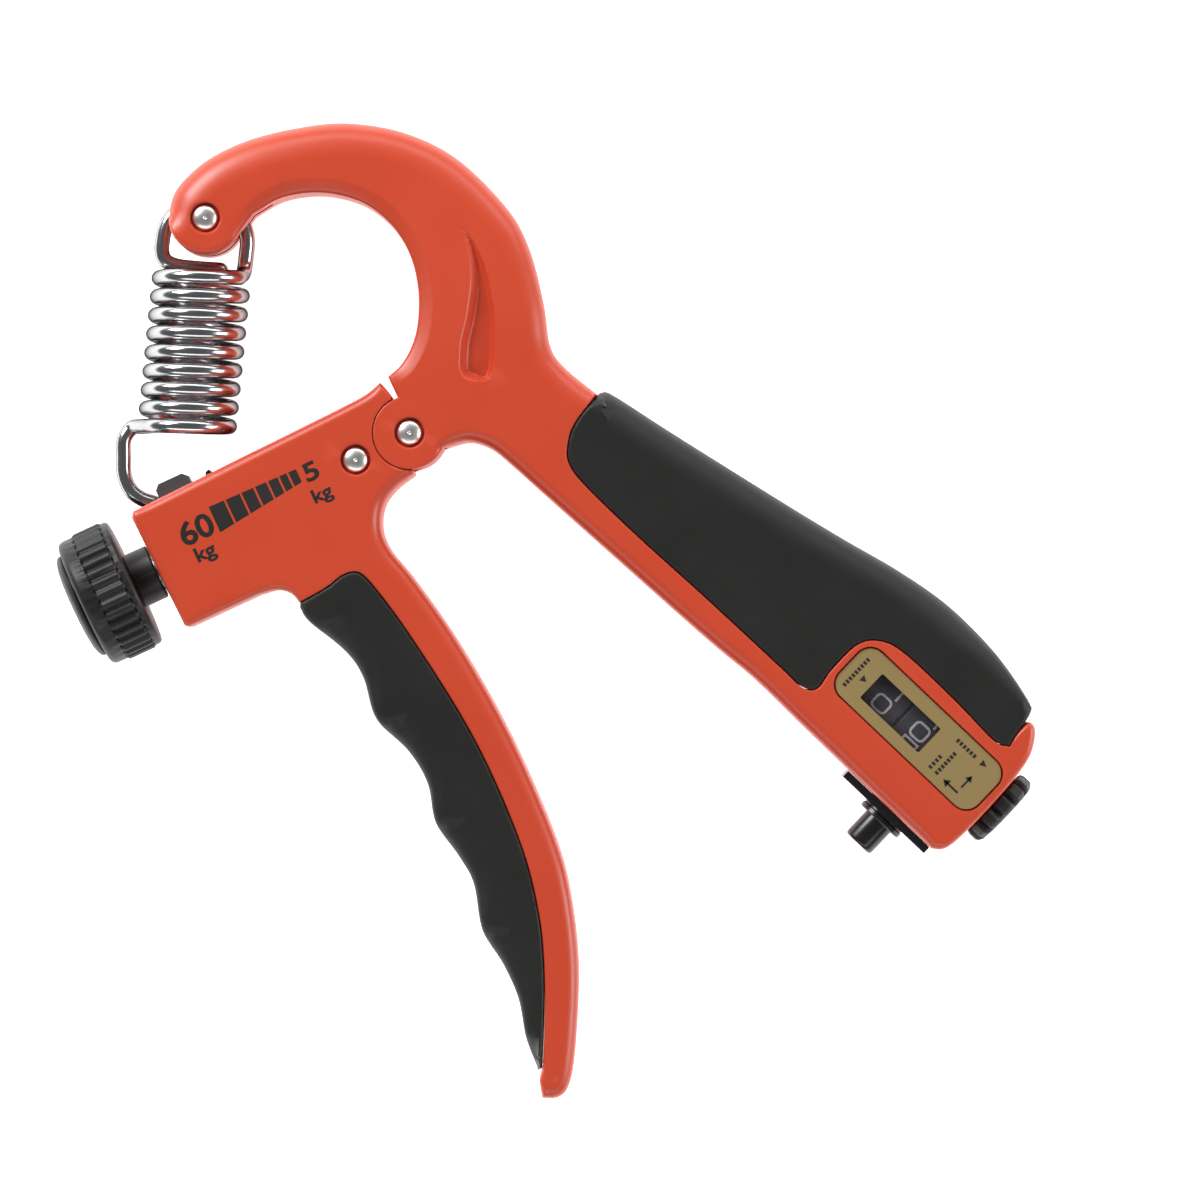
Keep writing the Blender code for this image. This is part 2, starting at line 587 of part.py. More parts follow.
# ---- palm lever ----
def palm_shell(name, sign, mat):
    """One half of the palm lever's casing; sign is 1 for the front and -1 for the back."""
    z0, z1 = half_range(sign, GAP / 2, HALF)
    bevels = {"bevel_top": 1.5} if sign > 0 else {"bevel_bottom": 1.5}
    bm = prism_mesh(palm_outline(), z0, z1, **bevels)
    for v in bm.verts:
        if abs(v.co.z) > 1:
            v.co.z -= sign * (HALF - hook_half(v.co.y))
    shell = add_object(name, bm, mat)
    join(shell, prism_mesh(palm_core(), *half_range(sign, GAP / 2, CORE_HALF)))
    fork = arc((0, 0), SOCKET_R, 86, -60, 14) + [(-1, -8), (-8, -8), (-8, 8), (0.4, 8)]
    clevis = cylinder_mesh((*HOOK_RIVET, -1.9), (0, 0, 1), 3.8, 11.0, 28)
    cut(shell, prism_mesh(fork, -FORK_HALF, FORK_HALF), clevis)
    for hollow, depth in zip(palm_hollows(), (5.5, HANDLE_HOLLOW)):
        cut(shell, prism_mesh(hollow, *half_range(sign, -1, depth)))
    cut(shell, *rivet_cutters((0, 0), HALF, sign), *rivet_cutters(HOOK_RIVET, hook_half(HOOK_RIVET[1]), sign))
    for at in CASING_SCREWS["palm"]:
        cut(shell, *screw_cutters(at, hook_half(at[1]), sign))
    works_depth = 9.1 if sign > 0 else 8.4
    way, across = plate_axis()
    cut(shell, prism_mesh(on_plate(box(-9.6, 13.6, -6.2, 6.2)), *half_range(sign, -1, works_depth)),
        cylinder_mesh(at_plate(PLUNGER_T, -16, 0), across, 11, PLUNGER_HOLE_R, 20))
    if sign > 0:
        recess = on_plate(rounded_box(-12.0, 19.6, -5.0, 5.3, 3.0))
        cut(shell, prism_mesh(recess, HALF - LABEL_SUNK, HALF + 2),
            prism_mesh(on_plate(box(-7.4, 7.3, -3.4, 3.4)), 8, HALF + 1),
            cylinder_mesh(at_plate(13, 0, WHEEL_Z), way, 12, 1.9, 16))


def palm_lever(mats):
    palm_shell("palm_front_shell", 1, mats["orange"])
    palm_shell("palm_back_shell", -1, mats["orange"])
    outline = palm_grip_outer() + palm_seam()[::-1][1:-1]
    rubber_grip("palm_grip", outline, palm_outline(), palm_core(), mats["rubber"], 1.2)
    rivet("pivot_rivet", (0, 0), HALF, mats["steel"])
    rivet("hook_rivet", HOOK_RIVET, hook_half(HOOK_RIVET[1]), mats["steel"])
    for i, at in enumerate(CASING_SCREWS["palm"], 1):
        casing_screw(f"palm_casing_screw_{i}", at, hook_half(at[1]), mats["steel"])
    for name, z in (("pivot_washer_front", TONGUE_HALF + GAP), ("pivot_washer_back", -FORK_HALF + GAP)):
        add_object(name, tube_mesh((0, 0, z), (0, 0, 1), 0.5, 5.0, 1.9, 20), mats["white"])


# ---- counter ----
def counter(mats):
    """The label, window and number wheels in the end of the palm lever, and their frame and knob."""
    way = plate_axis()[0]
    centre = tuple(PLATE_CENTRE)

    label = prism("counter_label", on_plate(rounded_box(-11.7, 19.3, -4.7, 5.0, 2.7)), HALF - 1.0, HALF - 0.3,
                  mats["gold"], bevel_top=0.2, origin=centre)
    cut(label, prism_mesh(on_plate(box(-6.6, 6.5, -2.7, 2.65)), 8, 13))
    prism("counter_window", on_plate(box(-7.1, 7.0, -3.1, 3.1)), 9.25, HALF - LABEL_SUNK, mats["glass"],
          origin=centre)

    floor = on_plate(box(-9.3, 13.2, -5.8, 5.8))
    frame = prism("counter_frame", floor, -8.1, -7.1, mats["black"], origin=centre)
    ends = ((-9.3, -8.1), (12.0, 13.2))
    join(frame, *[prism_mesh(on_plate(box(t0, t1, -5.2, 5.2)), -7.6, 6.6) for t0, t1 in ends])
    for z, r in ((WHEEL_Z, 1.35), (CARRY_Z, 1.1)):
        cut(frame, cylinder_mesh(at_plate(-12, 0, z), way, 28, r, 16))

    shaft = cylinder_mesh(at_plate(-9.2, 0, WHEEL_Z), way, 31.6, 1.0, 16)
    add_object("counter_shaft", shaft, mats["steel"], centre)
    axle = cylinder_mesh(at_plate(-9.2, 0, CARRY_Z), way, 22.3, 0.8, 12)
    add_object("carry_axle", axle, mats["steel"], centre)

    for name, t0 in (("tens_wheel", -6.9), ("units_wheel", 0.8)):
        disc = along(prism_mesh(circle((0, 0), WHEEL_R, 30), 0, WHEEL_WIDTH), at_plate(t0, 0, WHEEL_Z), way)
        wheel = add_object(name, disc, mats["dark"], centre)
        if name == "units_wheel":
            ratchet = prism_mesh(ribbed_outline(3.3, 0.5, 10), 0, 2.8)
            join(wheel, along(ratchet, at_plate(t0 + WHEEL_WIDTH - 0.1, 0, WHEEL_Z), way))
        cut(wheel, cylinder_mesh(at_plate(-12, 0, WHEEL_Z), way, 26, 1.35, 16))
    teeth = along(prism_mesh(ribbed_outline(2.1, 0.6, 8), 0, 2.4), at_plate(-0.7, 0, CARRY_Z), way)
    pinion = add_object("carry_pinion", teeth, mats["white"], centre)
    cut(pinion, cylinder_mesh(at_plate(-4, 0, CARRY_Z), way, 10, 1.15, 12))

    fluted = prism_mesh(ribbed_outline(6.5, 0.8, 12), 0, 3.0, bevel_top=0.6)
    reset = add_object("reset_knob", along(fluted, at_plate(21.2, 0, WHEEL_Z), way), mats["black"], centre)
    cut(reset, cylinder_mesh(at_plate(20.5, 0, WHEEL_Z), way, 2.2, 1.3, 16))


def counter_plunger(mats):
    """The sprung plunger under the counter, its guide and the base plate that holds it."""
    way, across = plate_axis()
    centre = tuple(PLATE_CENTRE)
    plate = prism("counter_base_plate", on_plate(box(0.4, 18.6, -13.9, -13.0)), -6.5, 6.5, mats["black"],
                  origin=centre)
    cut(plate, cylinder_mesh(at_plate(PLUNGER_T, -16, 0), across, 6, PLUNGER_HOLE_R, 20))
    profile = [(3.0, 0), (4.1, 0), (4.1, 1.0), (3.9, 1.0), (3.9, 9.0), (1.8, 9.0), (1.8, 8.0), (3.0, 8.0)]
    guide = along(turned_mesh(profile, 20), at_plate(PLUNGER_T, -15.2, 0), across)
    add_object("plunger_guide", guide, mats["black"], centre)
    profile = [(0, 0), (2.4, 0), (PLUNGER_R, 0.3), (PLUNGER_R, 7.7), (1.4, 7.7), (1.4, 14.2), (0, 14.2)]
    stem = along(turned_mesh(profile, 20), at_plate(PLUNGER_T, -20.2, 0), across)
    add_object("plunger", stem, mats["black"], centre)
    pawl = on_plate(box(PLUNGER_T - 1.2, PLUNGER_T + 1.2, -5.7, -2.2))
    prism("plunger_pawl", pawl, -2.6, -0.6, mats["white"], origin=centre)

    turns, steps, length = 4, 8, 4.3
    coil = []
    for i in range(turns * steps + 1):
        turn = 2 * math.pi * i / steps
        base = at_plate(PLUNGER_T, -12.0, 0) + across * (length * i / (turns * steps))
        coil.append(base + 2.2 * (way * math.cos(turn) + Vector((0, 0, math.sin(turn)))))
    wire("plunger_spring", coil, 0.22, mats["steel"], 0)


def main():
    clear_scene()
    mats = {
        "orange": material("orange_plastic", ORANGE, 0.42),
        "rubber": material("black_rubber", RUBBER, 0.75),
        "black": material("black_plastic", BLACK, 0.4),
        "steel": material("bright_steel", STEEL, 0.2, 1.0),
        "gold": material("gold_label", GOLD, 0.35, 0.7),
        "glass": material("dark_window", DARK_GLASS, 0.1),
        "dark": material("dark_wheel", DARK_GLASS, 0.5),
        "white": material("white_nylon", WHITE, 0.5),
    }
    finger_lever(mats)
    knob(mats)
    lead_screw(mats)
    load_nut(mats)
    spring(mats)
    palm_lever(mats)
    counter(mats)
    counter_plunger(mats)


main()
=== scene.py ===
"""Looks for the adjustable hand grip strengthener: finely moulded casings and grips, a polished spring,
turned and ribbed parts, prints and materials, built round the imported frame.

Lengths are millimetres from the main pivot, with z = 0 on the parting plane between the two casing
halves. place() turns them into the frame's metres.
"""

import json
from math import asin, cos, dist, pi, radians, sin, tau

import bmesh
import bpy
import numpy as np
from mathutils import Matrix, Vector, geometry


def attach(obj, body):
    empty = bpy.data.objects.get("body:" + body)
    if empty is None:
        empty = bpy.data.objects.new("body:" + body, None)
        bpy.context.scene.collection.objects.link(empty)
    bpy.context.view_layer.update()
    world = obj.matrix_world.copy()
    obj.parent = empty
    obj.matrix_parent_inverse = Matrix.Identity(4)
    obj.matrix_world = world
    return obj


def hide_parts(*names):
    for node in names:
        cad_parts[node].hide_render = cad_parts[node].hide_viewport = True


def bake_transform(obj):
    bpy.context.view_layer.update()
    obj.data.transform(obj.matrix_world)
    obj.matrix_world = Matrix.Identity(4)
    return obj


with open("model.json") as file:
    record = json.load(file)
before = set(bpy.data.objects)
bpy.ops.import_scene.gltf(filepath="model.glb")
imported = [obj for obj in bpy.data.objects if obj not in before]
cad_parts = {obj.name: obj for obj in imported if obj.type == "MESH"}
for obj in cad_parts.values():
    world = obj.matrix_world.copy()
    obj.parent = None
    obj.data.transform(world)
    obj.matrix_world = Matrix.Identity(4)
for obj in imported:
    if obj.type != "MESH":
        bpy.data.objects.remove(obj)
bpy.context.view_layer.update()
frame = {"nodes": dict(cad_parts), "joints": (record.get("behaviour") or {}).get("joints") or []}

MM = 0.001
PIVOT = Vector(next(j["pos_m"] for j in frame["joints"] if j["name"] == "squeeze"))
STEP = 0.7  # spacing of the points along an outline

# Casings
HALF, HOOK_HALF = 11.5, 9  # half thickness of the levers, and of the hook's end
TAPER_FROM, TAPER_TO = 6, 44  # the palm lever thins towards its hook between these y
SEAM = 0.06  # half of the gap between the two halves of a casing
BOSS_R, SOCKET_R, HUB_SEAT_R = 6, 6.35, 6.12
TONGUE_HALF, FORK_HALF = 4.2, 5.3
CORE_HALF, HANDLE_HOLLOW = 6.2, 4.2  # half thickness of the core under a grip, and of its hollow
HOUSING_DEPTH, WORKS_DEPTH = 9.4, (9.1, 8.4)  # rooms for the load screw, and for the counter (front, back)
SLOT_HALF, SLOT_END, SLOT_FLOOR = 5.2, -9.2, 1.9
SCREW_Y = -2.8  # height of the lead screw

# Fasteners
HOUSING_RIVET, HOOK_RIVET = (-9.8, -0.3), (-15.4, 45.9)
WELL_R, WELL_DEPTH, RIVET_HOLE_R = 2.45, 1.3, 1.9
SCREW_HOLE_R, SCREW_SEAT_R = 1.4, 2.3
CROSS_CORNER = ((1.2, 0.26), (0.26, 0.26), (0.26, 1.2))

# Spring and nut
SPRING_PIN, PIN_HOLE_R = (-39.3, 5.5), 1.8
WIRE_R, COIL_R, COIL_TURNS = 1.25, 6.95, 8.5
COIL_FROM, COIL_TO = 8.8, 34.9  # the coil's ends, measured from the hook's rivet
COIL_PIECES = 32  # lengths of wire that the coil is made of
LOOP_CENTRE, PIN_LOOP_R = 3.8, 3.2

# Knobs and grips
KNOB_END_X = -62.2
KNOB_RIBS, FLUTES = 36, 12
RIDGE_FROM, RIDGE_PITCH = -23.6, 18.6  # the finger grip's ridges

# Counter: t runs along its shaft and v across it
PLATE_CENTRE, PLATE_ANGLE = (53.15, -75.2), radians(-68.5)
WHEEL_Z, WHEEL_R, WHEEL_WIDTH = 3.5, 5.3, 7.2
PLUNGER_T = 9.9
GUIDE_R = 4.2  # hole for the plunger's guide
INK = 0.03  # half thickness of printed ink

CASING_SCREWS = {
    "finger": ((-41.3, -10.3), (-19.5, -11), (-9.3, -44), (-16, -91.5)),
    "palm": ((19.3, -5.2), (19.5, 38.6), (42.9, -72.4), (50.7, -94.3)),
}
X_AXIS, Z_AXIS = Vector((1, 0, 0)), Vector((0, 0, 1))
PLATE_WAY = Vector((cos(PLATE_ANGLE), sin(PLATE_ANGLE), 0))
PLATE_ACROSS = Vector((-sin(PLATE_ANGLE), cos(PLATE_ANGLE), 0))


# ---- numbers ----
def ramp(value, start, end):
    """0 before start, 1 after end, and a straight line between them."""
    return np.clip((value - start) / (end - start), 0, 1)


def ease(share):
    return share * share * (3 - 2 * share)


def blurred(values, times):
    """The values round a closed outline, each softened towards its neighbours."""
    for _ in range(times):
        values = (np.roll(values, 1, 0) + 2 * values + np.roll(values, -1, 0)) / 4
    return values


def distances(points, outline):
    return np.linalg.norm(points[:, None] - outline[None], axis=2)


# ---- outlines ----
def smooth(points, step=STEP):
    """A curve through the points, sampled about every step millimetres."""
    pts = [Vector(p) for p in points]
    pts = [2 * pts[0] - pts[1]] + pts + [2 * pts[-1] - pts[-2]]
    out = []
    for a, b, c, d in zip(pts, pts[1:], pts[2:], pts[3:]):
        count = max(1, round((c - b).length / step))
        for i in range(count):
            t = i / count
            out.append(0.5 * (2 * b + (c - a) * t + (2 * a - 5 * b + 4 * c - d) * t**2
                              + (3 * b - a - 3 * c + d) * t**3))
    return [tuple(p) for p in out] + [tuple(points[-1])]


def straight(points, step=STEP):
    """The same for a line with corners."""
    out = []
    for a, b in zip(points, points[1:]):
        a, b = Vector(a), Vector(b)
        count = max(1, round((b - a).length / step))
        out += [tuple(a.lerp(b, i / count)) for i in range(count)]
    return out + [tuple(points[-1])]


def polar(centre, radius, angle):
    return centre[0] + radius * cos(angle), centre[1] + radius * sin(angle)


def arc(centre, radius, start, end, step=STEP):
    count = max(4, round(abs(radians(end - start)) * radius / step))
    return [polar(centre, radius, radians(start + (end - start) * i / count)) for i in range(count + 1)]


def circle(centre, radius, count):
    return [polar(centre, radius, tau * i / count) for i in range(count)]


def box(x0, x1, y0, y1):
    return [(x0, y0), (x1, y0), (x1, y1), (x0, y1)]


def rounded_box(x0, x1, y0, y1, r, step=0.3):
    corners = ((x1 - r, y1 - r, 0), (x0 + r, y1 - r, 90), (x0 + r, y0 + r, 180), (x1 - r, y0 + r, 270))
    return [p for x, y, a in corners for p in arc((x, y), r, a, a + 90, step)]


def on_plate(points):
    """Counter coordinates (t along the shaft, v across it) to (x, y)."""
    return [tuple((Vector((*PLATE_CENTRE, 0)) + t * PLATE_WAY + v * PLATE_ACROSS)[:2]) for t, v in points]


def at_plate(t, v, z):
    return Vector((*on_plate([(t, v)])[0], z))


def inward_normals(xy):
    """Unit normals pointing into a closed outline, whichever way round it runs."""
    along = np.roll(xy, -1, 0) - np.roll(xy, 1, 0)
    along /= np.maximum(np.linalg.norm(along, axis=1, keepdims=True), 1e-9)
    x, y = xy.T
    area = (x * np.roll(y, -1) - np.roll(x, -1) * y).sum()
    return np.stack((-along[:, 1], along[:, 0]), 1) * (1 if area > 0 else -1)


def grow(outline, distance):
    xy = np.array(outline)
    return [tuple(p) for p in xy - inward_normals(xy) * distance]


def inside(points, outline):
    """Which of the points lie inside a closed outline."""
    x, y = points[:, :1], points[:, 1:]
    x0, y0 = outline.T
    x1, y1 = np.roll(outline, -1, 0).T
    crosses = (y0 > y) != (y1 > y)
    level = np.where(y1 == y0, 1, y1 - y0)
    return (crosses & (x < (x1 - x0) * (y - y0) / level + x0)).sum(1) % 2 == 1


# The levers' outlines, run by run
FINGER_INNER = smooth([
    (-2.2, -6.4), (-6, -7.3), (-8.9, -9), (-10.8, -12.2), (-11, -16), (-9.5, -22), (-7.5, -33),
    (-6.2, -46), (-5.9, -58), (-6.5, -71), (-8.2, -80), (-12, -91), (-18, -102.5), (-21.5, -107.4),
    (-24, -108.3), (-26.2, -107.3)])
FINGER_SEAM = smooth([
    (-24.1, -103), (-20.5, -96), (-16.8, -88), (-14, -80), (-12, -70), (-11.3, -57), (-11.8, -45),
    (-13.8, -30), (-15.6, -21), (-17, -17.2), (-19.5, -16.4), (-23, -17.1), (-27.9, -17.5)])
FINGER_WAVE = smooth([
    (-28.3, -18.3), (-27.9, -21), (-24.6, -28), (-23.8, -33), (-24.7, -40), (-22.2, -47), (-21.6, -53),
    (-23.1, -59.5), (-22, -66), (-21.7, -71), (-23.6, -78.5), (-22.9, -85), (-23, -91), (-24.6, -97.5),
    (-25, -103)])
FINGER_LEFT = straight([(-45.9, -13.5), (-46.4, -13), (-46.8, 6.6), (-46.2, 7.4)])
FINGER_TOP = (straight([(-46.2, 7.4), (-30, 7.8), (-9.5, 8.3)])
              + smooth([(-9.5, 8.3), (-4, 8.6), (-0.9, 9.4)])[1:])
FINGER_STOP = straight([(-0.9, 9.4), (-0.5, 8), (-0.2, 6.45)])
FINGER_UNDER = (smooth([(-27.9, -17.5), (-28.5, -15.6), (-30.4, -14.1), (-33.5, -13.5)])
                + straight([(-33.5, -13.5), (-45.9, -13.5)])[1:])
PALM_INNER = smooth([
    (48.4, -97.3), (46.5, -92.5), (43, -83.5), (38, -70.5), (34, -60), (29.2, -49.7), (16.2, -19.5),
    (13, -12), (11, -7.9), (8.5, -5.5), (6.2, -4.85), (3.9, -4.56)])
PALM_SEAM = smooth([
    (30.3, -7.2), (25, -10), (22.6, -12.5), (21.4, -15.5), (22.3, -20), (26.5, -31), (32.4, -45),
    (38.5, -60), (40.4, -64.6), (42.6, -65.8), (46, -64), (51.6, -62.1), (55.3, -63.3), (58, -67),
    (62, -77), (65, -85.6), (66.9, -87.6)])
PALM_GRIP = smooth([
    (30.3, -7.2), (31.6, -7.2), (33.2, -9), (39, -18.2), (50.7, -36.2), (57, -45.6), (63, -54.2), (68, -63),
    (71.5, -73), (73, -82), (72.4, -84.2), (69, -86.2), (66.9, -87.6)])
PALM_END = smooth([
    (66.9, -87.6), (69, -86.2), (71.2, -85.3), (72, -86.2), (71.2, -88.2), (68.5, -91), (62, -94.3),
    (54, -97.4), (50.3, -98.2), (48.4, -97.3)])
HOOK_INNER = smooth([
    (-8, 43.2), (-3, 43.6), (2, 42.3), (6, 40), (9.5, 36.5), (11.8, 31.5), (12.3, 26), (11.2, 20.7),
    (9, 16), (6.5, 12.8), (3.5, 10.6), (0.7, 9.7)])
HOOK_OUTER = smooth([
    (-20.9, 48.3), (-19.3, 50.9), (-16.5, 52.9), (-11, 54.5), (-4, 54.6), (4, 53.1), (12, 50.3), (20, 44.8),
    (26, 37.2), (29.9, 26.5), (30.4, 19), (28.8, 10.2), (26.8, 3.4), (27.3, -0.8), (30.3, -7.2)])
SHOULDER = straight([(0.7, 5.96), (0.7, 9.7)])
TEARDROP_RIGHT = smooth([
    (22, 26.3), (22.4, 24), (22.5, 21), (22.2, 18), (21.3, 14.5), (20.2, 11), (18.8, 8), (17.3, 5),
    (16, 3.2), (14.8, 2.6), (12.5, 3.8)])
TEARDROP_LEFT = smooth([
    (12.5, 3.8), (11.8, 5), (12.1, 6.5), (13, 8.2), (14, 10), (16, 12.5), (18, 15.5), (19.7, 18.5),
    (21, 22), (21.6, 24.5), (22, 26.3)])

# The cores that the rubber grips are moulded round, and the hollows inside the casings
FINGER_CORE = smooth([
    (-24.2, -20.5), (-21, -29), (-20.3, -37), (-18.8, -47), (-18, -57), (-18.3, -68), (-18.9, -78),
    (-19.9, -88)], 2) + [(-15.5, -87), (-12.5, -78), (-10, -62), (-10, -45), (-12, -30), (-14, -18),
                         (-19, -14.5)]
PALM_CORE = smooth([
    (31.5, -13), (38, -23.5), (47, -37.2), (54, -47.6), (60, -56), (64.3, -64.5), (67.3, -74), (68, -81.5)
], 2) + [(63, -84), (56, -67), (44, -60), (36, -60), (28.5, -44), (18.5, -20), (24.5, -7)]
FINGER_HOLLOWS = (
    smooth([(-21, -20.5), (-18, -30), (-17, -41)], 2)
    + smooth([(-11.6, -41), (-13.1, -30), (-14.4, -20.5)], 2),
    smooth([(-16.6, -48), (-16, -57), (-16.2, -68), (-17.2, -81)], 2)
    + smooth([(-11.2, -79), (-9, -68), (-8.3, -57), (-8.4, -48)], 2))
HOOK_HOLLOW = (
    smooth([(-1, 47), (6, 45.5), (12, 42), (15.5, 37), (18.5, 29), (18.5, 21)], 2)
    + smooth([(25.5, 22), (24.5, 30), (21, 36.5)], 2) + [(16, 42), (9, 47.5), (0, 50.5)])
PALM_HOLLOW = [(33, -19), (45, -37.5), (51, -46.5), (50, -57), (37.5, -57), (30, -41), (22, -21)]


class Rim:
    """A closed outline with the width, depth and kind of its moulded edge at each point.

    A run is (points, width, drop, lip). Width and drop are numbers or functions of a point's y. Lip 0 is a
    round edge and lip 1 a flat slope with a crease at its top.
    """

    def __init__(self, runs, blur=8, nearest=False, inset=0):
        xy, values = [], []
        for points, *shape in runs:
            for p in points:
                if xy and dist(p, xy[-1]) < 0.02:
                    continue
                xy.append(p)
                values.append([s(p[1]) if callable(s) else s for s in shape])
        if dist(xy[0], xy[-1]) < 0.02:
            xy.pop()
            values.pop()
        self.xy = np.array(xy)
        self.xy = self.xy + inward_normals(self.xy) * inset
        self.width, self.drop, self.lip = blurred(np.array(values, float), blur).T
        self.nearest = nearest
        self.normals = inward_normals(self.xy)

    def depth(self, points):
        """How far the surface lies below the flat face at each point."""
        far = distances(points, self.xy)
        if self.nearest:
            pick = far.argmin(1)
            share = np.clip(far.min(1) / self.width[pick], 0, 1)
            return self.drop[pick] * self.edge(share, self.lip[pick])
        share = np.clip(far / self.width, 0, 1)
        return (self.drop * self.edge(share, self.lip)).max(1)

    @staticmethod
    def edge(share, lip):
        round_edge = 1 - np.sqrt(1 - (1 - share) ** 2)
        slope = 0.8 * (1 - share) + 0.2 * np.maximum(0, 1 - share / 0.2) ** 2
        return lip * slope + (1 - lip) * round_edge

    def ring_points(self):
        """Points on lines that follow the outline inwards, closer together where the edge bends most."""
        kept, last = [], np.zeros(len(self.xy))
        for share in (0.03, 0.1, 0.2, 0.35, 0.5, 0.7, 0.85, 0.93, 1, 1.07):
            offset = share * self.width + (0.15 if share > 1 else 0)
            points = self.xy + self.normals * offset[:, None]
            clear = distances(points, self.xy).min(1) > 0.93 * offset
            use = clear & (offset - last > 0.09) & inside(points, self.xy)
            last = np.where(use, offset, last)
            kept.append(points[use])
        return np.concatenate(kept)


class Dimple:
    """The sunk round seat of a rivet, with a softened edge."""

    EDGE, SUNK = 0.45, 0.3

    def __init__(self, centre):
        self.centre = np.array(centre)

    def depth(self, points):
        out = (np.linalg.norm(points - self.centre, axis=1) - WELL_R) / self.EDGE
        return self.SUNK * (1 - np.sqrt(1 - (1 - np.clip(out, 0, 1)) ** 2))

    def ring_points(self):
        radii = [WELL_R - 0.2] + [WELL_R + self.EDGE * s for s in (0, 0.15, 0.4, 0.7, 1, 1.5)]
        return np.array([p for r in radii for p in circle(self.centre, r, 40)])


class Recess:
    """A sunk hollow with walls of different widths, shallow at its tip and deep at its round end.

    A run is (points, wall width).
    """

    ROUND = 0.35

    def __init__(self, runs):
        self.xy = np.array([p for points, _ in runs for p in points[:-1]])
        self.wall = blurred(np.array([w for points, w in runs for _ in points[:-1]]), 6) + self.ROUND

    def depth(self, points):
        far = distances(points, self.xy)
        within = ((far + self.ROUND) / self.wall).min(1)
        outside = (self.ROUND - far.min(1)) / self.wall[far.argmin(1)]
        share = np.clip(np.where(inside(points, self.xy), within, outside), 0, 1)
        return (0.6 + 1.3 * ramp(points[:, 1], 27, 13)) * ease(share)

    def ring_points(self):
        normals = inward_normals(self.xy)
        rings = []
        for offset in (-0.5, -0.35, -0.2, -0.05, 0.1, 0.25, 0.4, 0.6, 0.85, 1.1, 1.4, 1.8, 2.2):
            points = self.xy + normals * offset
            rings.append(points[distances(points, self.xy).min(1) > 0.93 * abs(offset)])
        return np.concatenate(rings)


def apart(points, gap, start):
    """The points, less each one from start on that lies closer than gap to an earlier kept one."""
    cells = {}
    kept = []
    for i, p in enumerate(points):
        column, row = int(p[0] // gap), int(p[1] // gap)
        cells_around = [(column + a, row + b) for a in (-1, 0, 1) for b in (-1, 0, 1)]
        if i < start or all(dist(p, q) > gap for cell in cells_around for q in cells.get(cell, ())):
            kept.append(tuple(p))
            cells.setdefault((column, row), []).append(tuple(p))
    return kept


def moulded(rim, half, dents=(), both_sides=False):
    """A solid between the parting plane and a face with moulded edges, or one with two such faces.

    half gives the half thickness for an array of y.
    """
    low, high = rim.xy.min(0), rim.xy.max(0)
    columns, rows = np.meshgrid(np.arange(low[0], high[0], 2), np.arange(low[1], high[1], 1.75))
    columns = columns + np.where(np.arange(len(rows)) % 2, 1, 0)[:, None]
    grid = np.stack((columns.ravel(), rows.ravel()), 1)
    grid = grid[inside(grid, rim.xy)]
    grid = grid[(distances(grid, rim.xy) - rim.width).min(1) > 0.8]
    special = [d.ring_points() for d in dents]
    count = len(rim.xy)
    points = apart(np.concatenate([rim.xy, *special, rim.ring_points()]), 0.1, count)
    fixed = np.array(points)
    if special:
        grid = grid[distances(grid, np.concatenate(special)).min(1) > 1]
    points = [Vector(p) for p in np.concatenate([fixed, grid])]
    edges = [(i, (i + 1) % count) for i in range(count)]
    flat, _, faces, origin, _, _ = geometry.delaunay_2d_cdt(points, edges, [], 0, 1e-4)
    flat = np.array([tuple(p) for p in flat])
    middles = np.array([flat[list(f)].mean(0) for f in faces])
    faces = [f for f, keep in zip(faces, inside(middles, rim.xy)) if keep]
    height = half(flat[:, 1]) - rim.depth(flat)
    for dent in dents:
        height -= dent.depth(flat)
    where = {o: i for i, group in enumerate(origin) for o in group}
    loop = [where[i] for i in range(count)]

    bm = bmesh.new()
    top = [bm.verts.new((*p, z)) for p, z in zip(flat, height)]
    for f in faces:
        bm.faces.new([top[i] for i in f])
    last = [top[i] for i in loop]
    if both_sides:
        bottom = [bm.verts.new((*p, -z)) for p, z in zip(flat, height)]
        for f in faces:
            bm.faces.new([bottom[i] for i in reversed(f)])
        bridge(bm, last, [bottom[i] for i in loop])
    else:
        for inset, z in ((0, SEAM + 0.14), (0.14, SEAM)):
            ring = [bm.verts.new((*p, z)) for p in rim.xy + rim.normals * inset]
            bridge(bm, last, ring)
            last = ring
        bm.faces.new(last)
    loose = [v for v in bm.verts if not v.link_faces]
    bmesh.ops.delete(bm, geom=loose, context="VERTS")
    return bm


# ---- mesh helpers ----
def bridge(bm, ring, other):
    for quad in zip(ring, ring[1:] + ring[:1], other[1:] + other[:1], other):
        bm.faces.new(quad)


def loft(bm, rings):
    """Adds a closed tube through rings of points."""
    loops = [[bm.verts.new(p) for p in ring] for ring in rings]
    for one, other in zip(loops, loops[1:]):
        bridge(bm, one, other)
    bm.faces.new(loops[0][::-1])
    bm.faces.new(loops[-1])
    return bm


def prism(outline, z0, z1):
    bm = bmesh.new()
    low = [bm.verts.new((x, y, z0)) for x, y in outline]
    high = [bm.verts.new((x, y, z1)) for x, y in outline]
    bm.faces.new(low)
    bm.faces.new(high[::-1])
    bridge(bm, low, high)
    return bm


def bevelled(bm, width, segments=3, angle=35):
    edges = [e for e in bm.edges if e.calc_face_angle(0) > radians(angle)]
    bmesh.ops.recalc_face_normals(bm, faces=bm.faces)
    bmesh.ops.bevel(bm, geom=edges, offset=width, segments=segments, profile=0.5, affect="EDGES",
                    clamp_overlap=True)
    return bm


